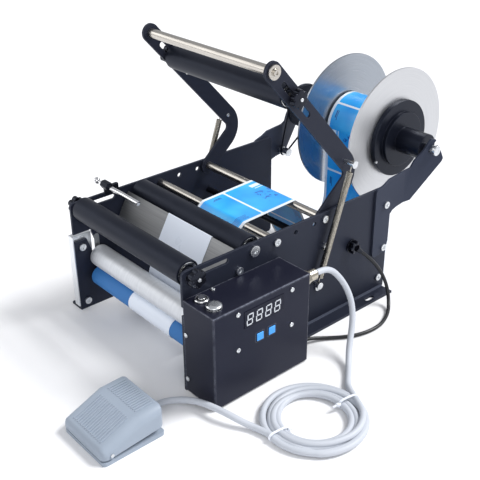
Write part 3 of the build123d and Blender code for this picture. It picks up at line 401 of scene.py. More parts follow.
reelCentre = (0, 0.2111, 0.1775)
coolTint = (0.62, 0.72, 1.0)
powder = {"rough": (0.42, 0.52), "tone": 0.08, "bump": 0.12, "specular": 0.25, "tint": coolTint}
powderBlack = coated("powderBlack", (0.0105, 0.0125, 0.0225), (0.1, 0.11, 0.14), **{**powder, "rough": (0.4, 0.5)})
armBlack = coated("armBlack", (0.0105, 0.012, 0.0205), (0.09, 0.095, 0.12), **powder)
bracketBlack = coated("bracketBlack", (0.023, 0.028, 0.047), (0.11, 0.12, 0.15), **powder)
# the box's broad light lines along its edges are a painted highlight
boxBlack = coated("boxBlack", (0.0048, 0.0052, 0.0145), (0.2, 0.21, 0.25), rough=(0.3, 0.4), tone=0.04, bump=0.06,
    specular=0.22, edge=0.8, edgeWidth=0.0024, tint=coolTint)
rollerRubber = coated("rollerRubber", (0.0052, 0.0062, 0.0112), (0.045, 0.05, 0.065), rough=(0.4, 0.5), pebble=1500, tone=0.15,
    edge=0.4, bump=0.2, toneScale=30, specular=0.28, tint=coolTint)
blueRubber = coated("blueRubber", (0.036, 0.172, 0.45), (0.08, 0.26, 0.6), rough=(0.5, 0.62), pebble=1400, tone=0.15, edge=0.2,
    bump=0.15, toneScale=25, specular=0.3)
knobPlastic = coated("knobPlastic", (0.0022, 0.0024, 0.0042), (0.03, 0.03, 0.04), rough=(0.14, 0.22), edge=0.3,
    bump=0.03, specular=0.3, tint=coolTint)
matPlastic = coated("matPlastic", (0.0035, 0.004, 0.0065), (0.04, 0.04, 0.05), rough=(0.34, 0.46), edge=0.4,
    bump=0.06, specular=0.22, tint=coolTint)
hubBlack = coated("hubBlack", (0.0045, 0.0055, 0.0105), (0.05, 0.055, 0.07), rough=(0.26, 0.36), tone=0.08, edge=0.6, bump=0.04,
    specular=0.24, tint=coolTint)
keyBlue = coated("keyBlue", (0.028, 0.305, 0.88), (0.2, 0.55, 1.0), rough=(0.25, 0.35), tone=0.15, bump=0.03)
windowFace = coated("windowFace", (0.0042, 0.0046, 0.012), (0.03, 0.03, 0.045), rough=(0.2, 0.28), tone=0.03, edge=0.0, bump=0.01,
    specular=0.22, tint=coolTint)
digitWhite = coated("digitWhite", (0.54, 0.57, 0.62), (0.95, 0.95, 0.95), rough=(0.3, 0.4), edge=0.1, bump=0.02)
pedalPaint = coated("pedalPaint", (0.285, 0.335, 0.405), (0.45, 0.5, 0.57), rough=(0.42, 0.55), pebble=1300, tone=0.12, edge=0.3,
    bump=0.2, toneScale=14, specular=0.35)
greySheath = coated("greySheath", (0.5, 0.53, 0.585), (0.66, 0.68, 0.72), rough=(0.42, 0.52), pebble=700, tone=0.14, edge=0.0,
    bump=0.06, toneScale=18, specular=0.35)
blackSheath = coated("blackSheath", (0.007, 0.008, 0.011), (0.05, 0.05, 0.055), rough=(0.3, 0.4), edge=0.0, bump=0.05,
    specular=0.4)
clearNylon = coated("clearNylon", (0.8, 0.84, 0.92), (0.93, 0.95, 1.0), rough=(0.2, 0.3), tone=0.3, bump=0.03)
satinSteel = brushed("satinSteel", (0.6, 0.57, 0.52), (0.46, 0.43, 0.39), rough=(0.2, 0.32))
chromeSteel = brushed("chromeSteel", (0.8, 0.8, 0.81), (0.68, 0.68, 0.69), rough=(0.1, 0.18), bump=0.03)
boltZinc = brushed("boltZinc", (0.78, 0.8, 0.82), (0.6, 0.62, 0.64), rough=(0.2, 0.34), stretch=(300, 300, 300), bump=0.05)
peelSteel = brushed("peelSteel", (0.36, 0.365, 0.37), (0.31, 0.315, 0.32), rough=(0.45, 0.6), stretch=(12, 500, 500), bump=0.08)
nipSteel = brushed("nipSteel", (0.74, 0.76, 0.79), (0.69, 0.71, 0.74), rough=(0.52, 0.64), stretch=(300, 40, 40), bump=0.06)
tabSteel = brushed("tabSteel", (0.5, 0.51, 0.52), (0.4, 0.41, 0.42), rough=(0.35, 0.5), stretch=(200, 200, 60), bump=0.06)
disc = {"turned": 1, "centre": reelCentre, "bump": 0.02}
discAluminium = brushed("discAluminium", (0.67, 0.675, 0.69), (0.63, 0.64, 0.655), rough=(0.38, 0.48), **disc)
# the left disc is the same aluminium painted darker and bluer: painted shade from the dark surroundings it reflects
discShade = brushed("discShade", (0.4, 0.43, 0.475), (0.35, 0.38, 0.42), rough=(0.26, 0.36), **disc)
railAluminium = brushed("railAluminium", (0.84, 0.86, 0.88), (0.76, 0.78, 0.8), rough=(0.3, 0.42),
    stretch=(700, 700, 20), bump=0.06)
springSteel = brushed("springSteel", (0.62, 0.59, 0.53), (0.34, 0.32, 0.28), rough=(0.16, 0.28),
    stretch=(900, 900, 300), bump=0.05)
glandNickel = brushed("glandNickel", (0.62, 0.58, 0.49), (0.48, 0.44, 0.36), rough=(0.2, 0.32), stretch=(200, 60, 200), bump=0.06)


# how the labels lie on the roll: the radius that stands for their pitch, the tape's outer layer and the wound edges
roll = {"along": 0.039, "outer": 0.0387, "start": 0.0357, "layers": 5200,
        "dark": (0.5, 0.56, 0.62, 1), "pale": (0.84, 0.87, 0.9, 1)}


def labelMaterial(name, onRoll):
    material, tree, shader = startMaterial(name)
    calc = partial(mathNode, tree)
    look = addNode(tree, "Group", node_tree=labelGroup)
    look.name = "labels"
    if onRoll:
        # across from X, along from the angle round the reel
        place = addNode(tree, "TexCoord").outputs["Object"]
        split = addNode(tree, "SeparateXYZ", {0: place}).outputs
        across = calc("SUBTRACT", split[0], tape["left"])
        dy, dz = [calc("SUBTRACT", split[index], reelCentre[index]) for index in (1, 2)]
        turn = calc("ARCTAN2", dz, calc("MULTIPLY", dy, -1))
        along = calc("ADD", calc("MULTIPLY", turn, -roll["along"]), roll["start"])
        radius = lengthNode(tree, dy, dz)
        layers = addNode(tree, "TexNoise", {"Scale": 1, "Detail": 2}, noise_dimensions="1D")
        tree.links.new(calc("MULTIPLY", radius, roll["layers"]), layers.inputs["W"])
        side = mixColour(tree, rangeNode(tree, layers.outputs["Fac"], 0.35, 0.65, 0, 1), roll["dark"], roll["pale"])
        colour = mixColour(tree, calc("GREATER_THAN", radius, roll["outer"]), side, look.outputs["Colour"])
        addBump(tree, shader, layers.outputs["Fac"], 0.1, 0.0001)
    else:
        path = addNode(tree, "UVMap", uv_map="tapePath").outputs[0]
        across, along, rest = addNode(tree, "SeparateXYZ", {0: path}).outputs
        colour = look.outputs["Colour"]
        addBump(tree, shader, look.outputs["Mask"], 0.4, 0.0001)
    tree.links.new(across, look.inputs["Across"])
    tree.links.new(along, look.inputs["Along"])
    tree.links.new(colour, shader.inputs["Base Color"])
    for key, value in (("Roughness", 0.28), ("Coat Weight", 0.4), ("Coat Roughness", 0.12)):
        shader.inputs[key].default_value = value
    return material


backingWhite = coated("backingWhite", (0.74, 0.8, 0.9), (0.8, 0.85, 0.92), rough=(0.25, 0.36), pebble=500, tone=0.2, edge=0.0,
    bump=0.03, toneScale=40, coat=0.2)
print("materials ready")


# cords: one pedal cord from the gland through the coil to the pedal, and the sensor's lead
pedalCord = {
    "radius": 0.0035, "coilX": 0.217, "coilY": -0.1019,
    "start": ((0.131, -0.0149, 0.1033), (0.131, -0.0039, 0.1033), (0.1325, 0.0086, 0.098), (0.1355, 0.0181, 0.0864),
        (0.1395, 0.0244, 0.0743), (0.1445, 0.0277, 0.0611), (0.1505, 0.026, 0.0483), (0.1565, 0.0204, 0.0351),
        (0.162, 0.0123, 0.024), (0.1685, 0.0031, 0.014), (0.177, -0.0064, 0.007), (0.186, -0.0159, 0.004),
        (0.1949, -0.0261, 0.0036), (0.204, -0.0374, 0.004)),
    "end": ((0.1905, -0.1552, 0.0042), (0.1795, -0.1605, 0.006), (0.17, -0.165, 0.0088), (0.1565, -0.1697, 0.0115),
        (0.1425, -0.1731, 0.0115), (0.1255, -0.1764, 0.0095), (0.1115, -0.1824, 0.007), (0.1, -0.1924, 0.0053),
        (0.0942, -0.2049, 0.005), (0.0942, -0.2166, 0.005))}


def coilPoints(values):
    # clockwise turns seen from above, fanning out a little where nothing ties them
    course = ((78, 0.05, 0.0078), (40, 0.047, 0.0092), (0, 0.044, 0.0085), (-60, 0.0436, 0.008),
              (-200, 0.0374, 0.0046), (-340, 0.0368, 0.0045), (-560, 0.037, 0.0045), (-700, 0.044, 0.0045),
              (-900, 0.0441, 0.0045), (-1060, 0.051, 0.0045), (-1330, 0.0512, 0.0045), (-1512, 0.0512, 0.0045))
    made = []
    for (a0, r0, z0), (a1, r1, z1) in zip(course, course[1:]):
        steps = max(1, round((a0 - a1) / 24))
        for step in range(steps):
            share = step / steps
            angle, radius = a0 + (a1 - a0) * share, r0 + (r1 - r0) * share
            wander = 0.0006 * sin(radians(angle * 1.7)) + 0.0004 * sin(radians(angle * 3.1 + 40))
            stretch = 1.04  # control points lie outside the curve they make
            made.append((values["coilX"] + (radius * stretch + wander) * cos(radians(angle)),
                         values["coilY"] + (radius * stretch + wander) * sin(radians(angle)), z0 + (z1 - z0) * share))
    return made


def laidCord(name, points, radius, material, sides=6):
    curve = bpy.data.curves.new(name, "CURVE")
    curve.dimensions = "3D"
    curve.bevel_depth = radius
    curve.bevel_resolution = sides
    curve.resolution_u = 6
    curve.use_fill_caps = True
    spline = curve.splines.new("NURBS")
    spline.points.add(len(points) - 1)
    for point, place in zip(spline.points, points):
        point.co = (*place, 1)
    spline.order_u = 3
    spline.use_endpoint_u = True
    piece = bpy.data.objects.new(name, curve)
    scene.collection.objects.link(piece)
    curve.materials.append(material)
    return piece


def lengthOf(piece):
    bare = piece.data.copy()
    bare.bevel_depth = 0
    probe = bpy.data.objects.new("probe", bare)
    scene.collection.objects.link(probe)
    mesh = bpy.data.meshes.new_from_object(probe)
    places = [vertex.co.copy() for vertex in mesh.vertices]
    bpy.data.objects.remove(probe)
    return sum((b - a).length for a, b in zip(places, places[1:]))


cordRoute = list(pedalCord["start"]) + coilPoints(pedalCord) + list(pedalCord["end"])
greyCord = laidCord("pedalCord", cordRoute, pedalCord["radius"], greySheath)
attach(greyCord, "frame")
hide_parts("pedal_cord_start", "pedal_cord_coil", "pedal_cord_end")
greyLength = lengthOf(greyCord)
print("pedal cord", round(greyLength, 3), "m")

sensorLead = {
    "radius": 0.0022,
    "points": ((0.0999, 0.0896, 0.081), (0.1045, 0.1011, 0.0695), (0.1085, 0.1126, 0.0565), (0.112, 0.1216, 0.042),
        (0.116, 0.1266, 0.028), (0.121, 0.1266, 0.0155), (0.1285, 0.1201, 0.006), (0.137, 0.1096, 0.0024),
        (0.1445, 0.0956, 0.0022), (0.15, 0.0796, 0.0022), (0.15, 0.0591, 0.0022), (0.1445, 0.0396, 0.0022),
        (0.1345, 0.0231, 0.0022), (0.124, 0.0086, 0.0026), (0.1175, -0.0059, 0.0055), (0.1165, -0.0189, 0.008),
        (0.1165, -0.0309, 0.008))}
blackLead = laidCord("sensorLead", sensorLead["points"], sensorLead["radius"], blackSheath)
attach(blackLead, "frame")
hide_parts("sensor_lead")
leadLength = lengthOf(blackLead)
print("sensor lead", round(leadLength, 3), "m")


# the coil's two ties: a flat strap round the bundle, a locking head and a cut tail
tie = {"wide": 0.0024, "thick": 0.0009, "inner": 0.0318, "outer": 0.0562, "head": (0.0048, 0.0038, 0.0034), "out": 0.0006,
       "tail": 0.007, "lean": 12, "float": 0.0002, "turns": ((81, 0.0122), (-97, 0.0104))}


def makeTie(angle, top):
    half, rise = (tie["outer"] - tie["inner"]) / 2, top / 2
    deselectAll()
    bpy.ops.mesh.primitive_circle_add(vertices=48, radius=1, rotation=(pi / 2, 0, 0))
    strap = settle(bpy.context.object)
    for vertex in strap.data.vertices:
        across, up = vertex.co.x, vertex.co.z
        long = (abs(across) ** 3 + abs(up) ** 3) ** (1 / 3)
        vertex.co = (across / long * half, -tie["wide"] / 2, up / long * (rise - tie["thick"] / 2))
    editAll(strap)
    bpy.ops.mesh.extrude_region_move(TRANSFORM_OT_translate={"value": (0, tie["wide"], 0)})
    objectMode()
    thicken(strap, tie["thick"], 0)
    strap.data.transform(Matrix.Translation((0, 0, rise + tie["float"])))
    headX = -half - tie["out"]
    lock = block(tie["head"], (headX, 0, rise * 1.25))
    roundEdges(lock, 0.0006, turn=35)
    tailPlace, tailTurn = (headX - tie["tail"] / 2, 0, rise * 1.3), (0, -radians(tie["lean"]), 0)
    tail = block((tie["tail"], tie["wide"], tie["thick"]), tailPlace, tailTurn)
    whole = joined([strap, lock, tail])
    whole.data.transform(Matrix.Translation(((tie["outer"] + tie["inner"]) / 2, 0, 0)))
    whole.data.transform(Matrix.Rotation(radians(angle), 4, "Z"))
    whole.data.transform(Matrix.Translation((pedalCord["coilX"], pedalCord["coilY"], 0)))
    return whole


coilTies = finished(joined([makeTie(*turn) for turn in tie["turns"]]), "coilTies", "frame", clearNylon)
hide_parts("cord_ties")
print("cords laid")


# CAD nodes copied with their edges rounded
def eased(node, width, material, shape=None):
    piece = copied(nodes[node])
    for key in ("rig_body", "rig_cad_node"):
        if key in piece:
            del piece[key]
    piece.parent = None
    editAll(piece)
    bpy.ops.mesh.remove_doubles(threshold=0.000001)
    bpy.ops.mesh.dissolve_limited(angle_limit=radians(0.6))
    objectMode()
    if shape:
        for vertex in piece.data.vertices:
            vertex.co = shape(vertex.co)
    roundEdges(piece, width, turn=35)
    smooth(piece, 30, True)
    dress(piece, camel(node), bodyOf[node], material)
    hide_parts(node)


# the handle's end discs are smaller than the solids', and so is the rim of the reel's flange
midX = -0.0155
handleDisc = {"start": 0.1033, "share": 0.8}
flange = {"rim": 0.045, "share": 0.945}
keyFace = {"share": 0.84, "stand": 0.45}
button = {"push": 0.74, "dome": 0.45, "capTall": 0.006}
boxHigh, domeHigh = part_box("control_box")[1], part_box("dome_button")[1]
handleMiddle, pushMiddle = middleOf("handle_bar"), middleOf("push_button")


def towards(co, middle, shareX, shareY, shareZ):
    return [m + (c - m) * share for c, m, share in zip(co, middle, (shareX, shareY, shareZ))]


def smallerDisc(co):
    share = handleDisc["share"] if abs(co.x - midX) >= handleDisc["start"] else 1
    return towards(co, handleMiddle, 1, share, share)


def smallerFlange(co):
    share = flange["share"] if hypot(co.y - reelCentre[1], co.z - reelCentre[2]) > flange["rim"] else 1
    return towards(co, reelCentre, 1, share, share)


def smallerPush(co):
    share = button["push"] if co.z > boxHigh.z else 1
    return towards(co, pushMiddle, share, share, 1)


def flatterDome(co):
    base = domeHigh.z - button["capTall"]
    return towards(co, (0, 0, base), 1, 1, button["dome"] if co.z > base else 1)


def flushKey(node):
    x, y, z = boxHigh.x, *middleOf(node).yz
    return lambda co: towards(co, (x, y, z), keyFace["stand"] if co.x > x else 1, keyFace["share"], keyFace["share"])


easedNodes = {
    "side_plate_left": (0.0004, powderBlack), "side_plate_right": (0.0004, powderBlack),
    "reel_bracket_left": (0.0004, bracketBlack), "reel_bracket_right": (0.0004, bracketBlack),
    "arm_left": (0.0004, armBlack), "arm_right": (0.0004, armBlack),
    "reel_hub": (0.0008, hubBlack, smallerFlange),
    "reel_disc_left": (0.0004, discShade), "reel_disc_right": (0.0004, discAluminium),
    "front_roller": (0.0007, rollerRubber), "rear_roller": (0.0007, rollerRubber), "top_roller": (0.0007, rollerRubber),
    "drive_roller": (0.0005, blueRubber), "nip_roller": (0.0005, nipSteel), "side_rail": (0.0003, railAluminium),
    "handle_bar": (0.0005, satinSteel, smallerDisc), "frame_bolts": (0.0005, boltZinc), "rear_axle": (0.0005, boltZinc),
    "pedal_base": (0.001, pedalPaint), "brake_knob": (0.0005, boltZinc),
    "reel_axle": (0.0004, boltZinc), "brake_drum": (0.0006, hubBlack),
    "button_bezels": (0.0003, chromeSteel), "power_inlet": (0.0004, matPlastic), "label_sensor": (0.0004, matPlastic),
    "key_front": (0.0005, keyBlue, flushKey("key_front")), "key_back": (0.0005, keyBlue, flushKey("key_back")),
    "control_box": (0.0008, boxBlack), "nip_tabs": (0.0003, tabSteel),
    "push_button": (0.0006, chromeSteel, smallerPush), "dome_button": (0.0003, boltZinc, flatterDome),
}
for node, values in easedNodes.items():
    eased(node, *values)
print("edges rounded on", len(easedNodes), "parts")

plainNodes = {
    "guide_rod": satinSteel, "pivot_shaft": satinSteel, "tie_rod": matPlastic, "peel_bar": satinSteel, "peel_plate": peelSteel,
    "display_window": windowFace, "lead_grommet": matPlastic, "gear_motor": satinSteel, "brake_belt": matPlastic,
    "spring_pins": boltZinc, "top_axle": satinSteel, "front_axle": satinSteel, "backing_tape": backingWhite,
    "label_roll": labelMaterial("rollLabels", True), "label_tape": backingWhite, "cord_gland": glandNickel,
}
for node, material in plainNodes.items():
    paint(nodes[node], material)


# label tape, laid along its path with a measure of the path on it
tapeStops = ((0.1717, 0.1775, 0, 1), (0.1217, 0.085, 0.05, -1), (0.0371, 0.1365, 0.005375, 1),
             (-0.0379, 0.1336, 0.005375, 1), (-0.0707, 0.1348, 0.0159, -1))


def tangentRuns(stops):
    runs = []
    for (y0, z0, r0, s0), (y1, z1, r1, s1) in zip(stops, stops[1:]):
        across, shift = hypot(y1 - y0, z1 - z0), s1 * r1 - s0 * r0
        turn = atan2(z1 - z0, y1 - y0) - atan2(shift, sqrt(across ** 2 - shift ** 2))
        left = (-sin(turn), cos(turn))
        runs.append(((y0 - s0 * r0 * left[0], z0 - s0 * r0 * left[1]), (y1 - s1 * r1 * left[0], z1 - s1 * r1 * left[1]), turn))
    return runs


def tapeLine(stops, step):
    runs = tangentRuns(stops)
    line = []
    for index, (start, end, turn) in enumerate(runs):
        count = max(1, round(hypot(end[0] - start[0], end[1] - start[1]) / step))
        line += [(start[0] + (end[0] - start[0]) * i / count, start[1] + (end[1] - start[1]) * i / count) for i in range(count)]
        if index + 1 == len(runs):
            line.append(end)
            break
        y, z, radius, side = stops[index + 1]
        bend = (side * (runs[index + 1][2] - turn)) % (2 * pi) * side
        begin = atan2(end[1] - z, end[0] - y)
        count = max(3, round(abs(bend) * radius / step), round(abs(bend) / 0.2))
        line += [(y + radius * cos(begin + bend * i / count), z + radius * sin(begin + bend * i / count)) for i in range(count)]
    return line


line = tapeLine(tapeStops, tape["step"])
bpy.ops.mesh.primitive_plane_add(size=1)
labelTape = bpy.context.object
editAll(labelTape)
bpy.ops.mesh.delete(type="VERT")
mesh = bmesh.from_edit_mesh(labelTape.data)
row = [mesh.verts.new((tape["left"], y, z)) for y, z in line]
for first, second in zip(row, row[1:]):
    mesh.edges.new((first, second))
bmesh.update_edit_mesh(labelTape.data)
bpy.ops.mesh.select_all(action="SELECT")
for strip in range(4):
    bpy.ops.mesh.extrude_region_move(TRANSFORM_OT_translate={"value": (tape["width"] / 4, 0, 0)})
objectMode()
travelled = [0.0]
for (y0, z0), (y1, z1) in zip(line, line[1:]):
    travelled.append(travelled[-1] + hypot(y1 - y0, z1 - z0))
divide = min(range(len(line)), key=lambda i: hypot(line[i][0] + 0.0113, line[i][1] - 0.1415))
hang = min(range(20), key=lambda i: abs(line[i][1] - 0.119))
print("tape length", round(travelled[-1], 3), "m")
pitch = (travelled[divide] - travelled[hang]) / 3
pathLayer = labelTape.data.uv_layers.new(name="tapePath")
nearest = {}
for loop in labelTape.data.loops:
    co = labelTape.data.vertices[loop.vertex_index].co
    key = (round(co.y, 6), round(co.z, 6))
    if key not in nearest:
        nearest[key] = min(range(len(line)), key=lambda i: abs(line[i][0] - co.y) + abs(line[i][1] - co.z))
    pathLayer.data[loop.index].uv = (co.x - tape["left"], travelled[nearest[key]] - travelled[divide] + 10 * pitch)
thicken(labelTape, tape["thickness"], 0, 1)
smooth(labelTape)
dress(labelTape, "labelTape", "frame", labelMaterial("tapeLabels", False))
labelTape.data.materials.append(backingWhite)
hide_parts("label_tape")
for name in ("tapeLabels", "rollLabels"):
    bpy.data.materials[name].node_tree.nodes["labels"].inputs["Pitch"].default_value = pitch
print("label tape laid")


# arm springs, wound as close turns with a hook at each end
spring = {"low": (0.0226, 0.058), "high": (0.0706, 0.197), "out": 0.1142, "middle": -0.0155, "coil": 0.0034, "wire": 0.0006,
          "hook": 0.0095, "pitch": 0.00125}


def makeSpring(side):
    x = spring["middle"] + side * spring["out"]
    low, high = Vector((x, *spring["low"])), Vector((x, *spring["high"]))
    span = (high - low).length
    height = span - 2 * spring["hook"]
    turns = round(height / spring["pitch"])
    deselectAll()
    bpy.ops.mesh.primitive_circle_add(vertices=6, radius=spring["wire"], location=(spring["coil"], 0, 0), rotation=(pi / 2, 0, 0))
    coil = settle(bpy.context.object)
    screw = coil.modifiers.new("wind", "SCREW")
    screw.axis, screw.steps, screw.render_steps = "Z", 14, 14
    screw.screw_offset, screw.iterations, screw.use_merge_vertices = height / turns, turns, False
    applyAll(coil)
    coil.data.transform(Matrix.Translation((0, 0, spring["hook"])))
    parts = [coil]
    for end, flip in ((0, 1), (span, -1)):
        # the hook: a ring round the post and a stem that rises to the coil
        deselectAll()
        bpy.ops.mesh.primitive_torus_add(major_radius=spring["coil"], minor_radius=spring["wire"], major_segments=28,
                                         minor_segments=8, location=(0, 0, end), rotation=(0, pi / 2, 0))
        parts.append(settle(bpy.context.object))
        stem = spring["hook"] - spring["coil"] + 2 * spring["wire"]
        parts.append(rod(spring["wire"], stem, (0, 0, end + flip * (spring["hook"] + spring["coil"]) / 2), sides=8))
    whole = joined(parts)
    lean = (high - low).to_track_quat("Z", "X").to_matrix().to_4x4()
    whole.data.transform(Matrix.Translation(low) @ lean)
    smooth(whole, 50)
    whole.name = "springRight" if side > 0 else "springLeft"
    paint(whole, springSteel)
    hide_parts("spring_right" if side > 0 else "spring_left")
    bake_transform(whole)


makeSpring(1)
makeSpring(-1)
print("springs wound")


# display digits: slanted bars of a four-figure display
display = {"face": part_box("display_window")[1].x, "first": -0.1215, "pitch": 0.0127, "low": 0.0884, "tall": 0.0121, "wide": 0.007,
           "bar": 0.0008, "proud": 0.00015, "slant": 0.19, "gapShare": 1.3, "flareShare": 0.45}


def digitBar(length):
    # a flat bar along Z with flared ends
    piece = block((display["proud"], display["bar"], length))
    selectFaces(piece, lambda normal: abs(normal.z) > 0.9)
    bpy.ops.mesh.extrude_region_shrink_fatten(TRANSFORM_OT_shrink_fatten={"value": display["bar"] * display["flareShare"]})
    objectMode()
    return piece


def makeDigits():
    half, gap = display["tall"] / 2, display["bar"] * display["gapShare"]
    lying, standing = digitBar(display["wide"] - gap), digitBar(half - gap)
    lieDown = Matrix.Rotation(pi / 2, 4, "X")
    spots = [(lying, 0, level * half, lieDown) for level in range(3)]
    spots += [(standing, side * display["wide"] / 2, (level + 0.5) * half, None) for level in range(2) for side in (-1, 1)]
    pieces = []
    for digit in range(4):
        foot = display["first"] + digit * display["pitch"]
        for sample, across, up, turn in spots:
            place = (display["face"] + display["proud"] / 2, foot + across + up * display["slant"], display["low"] + up)
            pieces.append(copied(sample, place, turn))
    for sample in (lying, standing):
        bpy.data.objects.remove(sample)
    return joined(pieces)


dress(makeDigits(), "displayDigits", "frame", digitWhite)
print("display lit")


# painted shade: a dark sheet behind each key, standing for the shade in the gap round it
keyGapShade = {"size": 0.0106, "proud": 0.00012}
gapBlack = coated("gapBlack", (0.0015, 0.0015, 0.003), (0.01, 0.01, 0.012), rough=(0.5, 0.6), edge=0.0, bump=0.02, specular=0.1)
gapShades = [block((keyGapShade["proud"] * 2, keyGapShade["size"], keyGapShade["size"]), (boxHigh.x, *middleOf(node).yz))
        for node in ("key_front", "key_back")]
dress(joined(gapShades), "keyGaps", "frame", gapBlack)


# small screws with a recess
screw = {"head": 0.0027, "tall": 0.0013, "cross": 0.0011}


def makeScrew():
    head = rod(screw["head"], screw["tall"], (0, 0, screw["tall"] / 2), sides=24)
    selectFaces(head, lambda normal: normal.z > 0.9)
    for share, depth in ((0.35, screw["tall"] * 0.18), (0.25, 0), (0.05, -screw["cross"])):
        bpy.ops.mesh.inset(thickness=screw["head"] * share, depth=depth)
    objectMode()
    roundEdges(head, 0.00035)
    smooth(head)
    return head


sample = makeScrew()
toOutside = Matrix.Rotation(pi / 2, 4, "Y")
toFront = Matrix.Rotation(pi / 2, 4, "X")
outsideSpots = ((-0.1363, 0.1062), (-0.0611, 0.105), (-0.1363, 0.0633), (-0.0609, 0.0612))
screwPlaces = [((0.14, y, z), toOutside) for y, z in outsideSpots]
screwPlaces += [((0.0955, -0.1679, z), toFront) for z in (0.0735, 0.018)] + [((0.0955, -0.1318, 0.1136), None)]
boxScrews = joined([copied(sample, place, turn) for place, turn in screwPlaces])
bpy.data.objects.remove(sample)
dress(boxScrews, "boxScrews", "frame", boltZinc)
print("screws driven")


# star knobs with a stud end, two on each of the axles that they clamp
starKnob = {"reach": 0.0104, "waist": 0.0078, "lobes": 6, "thick": 0.0072, "boss": 0.003, "bossRadius": 0.0056, "stud": 0.0021,
            "studProud": 0.0016, "crown": 0.0006, "sink": 0.0006, "stand": 0.0098, "power": 0.75}


def makeStarKnob():
    # a knob that points along +X from its seat at the origin, and its stud
    top = starKnob["boss"] + starKnob["thick"]
    star = rod(1, starKnob["thick"], (0, 0, top - starKnob["thick"] / 2), sides=120, fill="TRIFAN")
    for vertex in star.data.vertices:
        if hypot(vertex.co.x, vertex.co.y) < 0.5:
            vertex.co.z += starKnob["crown"] if vertex.co.z > top - starKnob["thick"] / 2 else 0
            continue
        angle = atan2(vertex.co.y, vertex.co.x)
        lobe = abs(cos(angle * starKnob["lobes"] / 2)) ** starKnob["power"]
        radius = starKnob["waist"] + (starKnob["reach"] - starKnob["waist"]) * lobe
        vertex.co.x, vertex.co.y = radius * cos(angle), radius * sin(angle)
    roundEdges(star, 0.0016, 4, 50)
    tall = starKnob["boss"] + starKnob["sink"]
    boss = rod(starKnob["bossRadius"], tall, (0, 0, tall / 2), sides=40)
    stud = rod(starKnob["stud"], starKnob["studProud"] * 2, (0, 0, top + 0.0004), sides=32)
    roundEdges(stud, 0.0007, 3)
    knob = joined([star, boss])
    for piece in (knob, stud):
        piece.data.transform(Matrix.Rotation(pi / 2, 4, "Y"))
        smooth(piece, even=True)
    return knob, stud


def placeKnobs(node, knob, stud):
    low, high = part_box(node)
    middle = middleOf(node)
    seat = (high.x - low.x) / 2 - starKnob["stand"]
    made = [joined([copied(sample, (midX + side * seat, middle.y, middle.z), Matrix.Rotation(0 if side > 0 else pi, 4, "Z"))
                    for side in (1, -1)]) for sample in (knob, stud)]
    dress(made[0], camel(node), bodyOf[node], knobPlastic)
    dress(made[1], camel(node)[:-1] + "Studs", bodyOf[node], boltZinc)
    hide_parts(node)


knobSample, studSample = makeStarKnob()
for node in ("front_knobs", "top_knobs"):
    placeKnobs(node, knobSample, studSample)
for sample in (knobSample, studSample):
    bpy.data.objects.remove(sample)
print("knobs fitted")


# bright tube ends of the rubber-covered rollers
tubeEnd = {"outer": 0.84, "wall": 0.0027, "deep": 0.0018, "proud": 0.0001}


def makeTubeEnds(node):
    low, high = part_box(node)
    middle, half = middleOf(node), tubeEnd["deep"] / 2
    rings = []
    for end, side in ((high.x, 1), (low.x, -1)):
        x = end + side * (tubeEnd["proud"] - half)
        ring = bar((high.z - low.z) / 2 * tubeEnd["outer"], x - half, x + half, middle.y, middle.z, 72, "NOTHING")
        thicken(ring, tubeEnd["wall"], -1)
        roundEdges(ring, 0.0003)
        rings.append(ring)
    finished(joined(rings), camel(node) + "Tube", bodyOf[node], boltZinc)


for node in ("front_roller", "rear_roller", "top_roller"):
    makeTubeEnds(node)


# bottle stop: a thin rod with a ball end, held by a hexagon collar on a small clip
stop = {"y": -0.1184, "z": 0.1545, "rod": 0.0028, "neck": 0.0015, "ball": 0.0042, "ballX": -0.1376, "neckEnd": -0.1236,
        "end": -0.0514, "collar": 0.0056, "collarLift": 0.0008, "collarX": (-0.1238, -0.1098),
        "clip": (0.0046, 0.0192, 0.0108), "clipAt": (-0.1202, -0.1105, 0.1478)}
stopRod = bar(stop["rod"], stop["neckEnd"], stop["end"], stop["y"], stop["z"])
roundEdges(stopRod, 0.0006)
stopNeck = bar(stop["neck"], stop["ballX"], stop["neckEnd"] + 0.001, stop["y"], stop["z"])
deselectAll()
bpy.ops.mesh.primitive_uv_sphere_add(segments=32, ring_count=16, radius=stop["ball"],
                                     location=(stop["ballX"], stop["y"], stop["z"]))
stopRod = joined([stopRod, stopNeck, settle(bpy.context.object)])
finished(stopRod, "stopRod", bodyOf["stop_rod"], chromeSteel)
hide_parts("stop_rod")
collar = bar(stop["collar"], *stop["collarX"], stop["y"], stop["z"] + stop["collarLift"], 6)
roundEdges(collar, 0.0008, 3)
clip = block(stop["clip"], stop["clipAt"])
roundEdges(clip, 0.0008, 3)
stopClamp = finished(joined([collar, clip]), "stopClamp", "frame", matPlastic, even=True)
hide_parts("stop_clamp")
print("stop fitted")


# bolt head on the reel axle's right end, and a small screw in the reel's flange
axleCap = {"radius": 0.0062, "x": (0.1072, 0.1121), "edge": 0.0007}
flangeScrew = {"radius": 0.0016, "x": (0.053, 0.0552), "place": (0.1671, 0.1572)}
reelAxleCap = bar(axleCap["radius"], *axleCap["x"], reelCentre[1], reelCentre[2], 48)
finished(reelAxleCap, "reelAxleCap", bodyOf["reel_axle"], boltZinc, axleCap["edge"], 3)
hubScrew = bar(flangeScrew["radius"], *flangeScrew["x"], *flangeScrew["place"], 24)
finished(hubScrew, "hubScrew", bodyOf["reel_hub"], boltZinc, 0.0004)


# rivets on the inner faces of the arms, where the spring posts are fixed
rivet = {"y": 0.0706, "z": 0.197, "face": 0.1005, "radius": 0.0022, "proud": 0.0009}
rivets = [bar(rivet["radius"], midX + side * rivet["face"] - rivet["proud"], midX + side * rivet["face"] + rivet["proud"],
              rivet["y"], rivet["z"], 24) for side in (1, -1)]
finished(joined(rivets), "armRivets", "arm", boltZinc, 0.0006, 3)


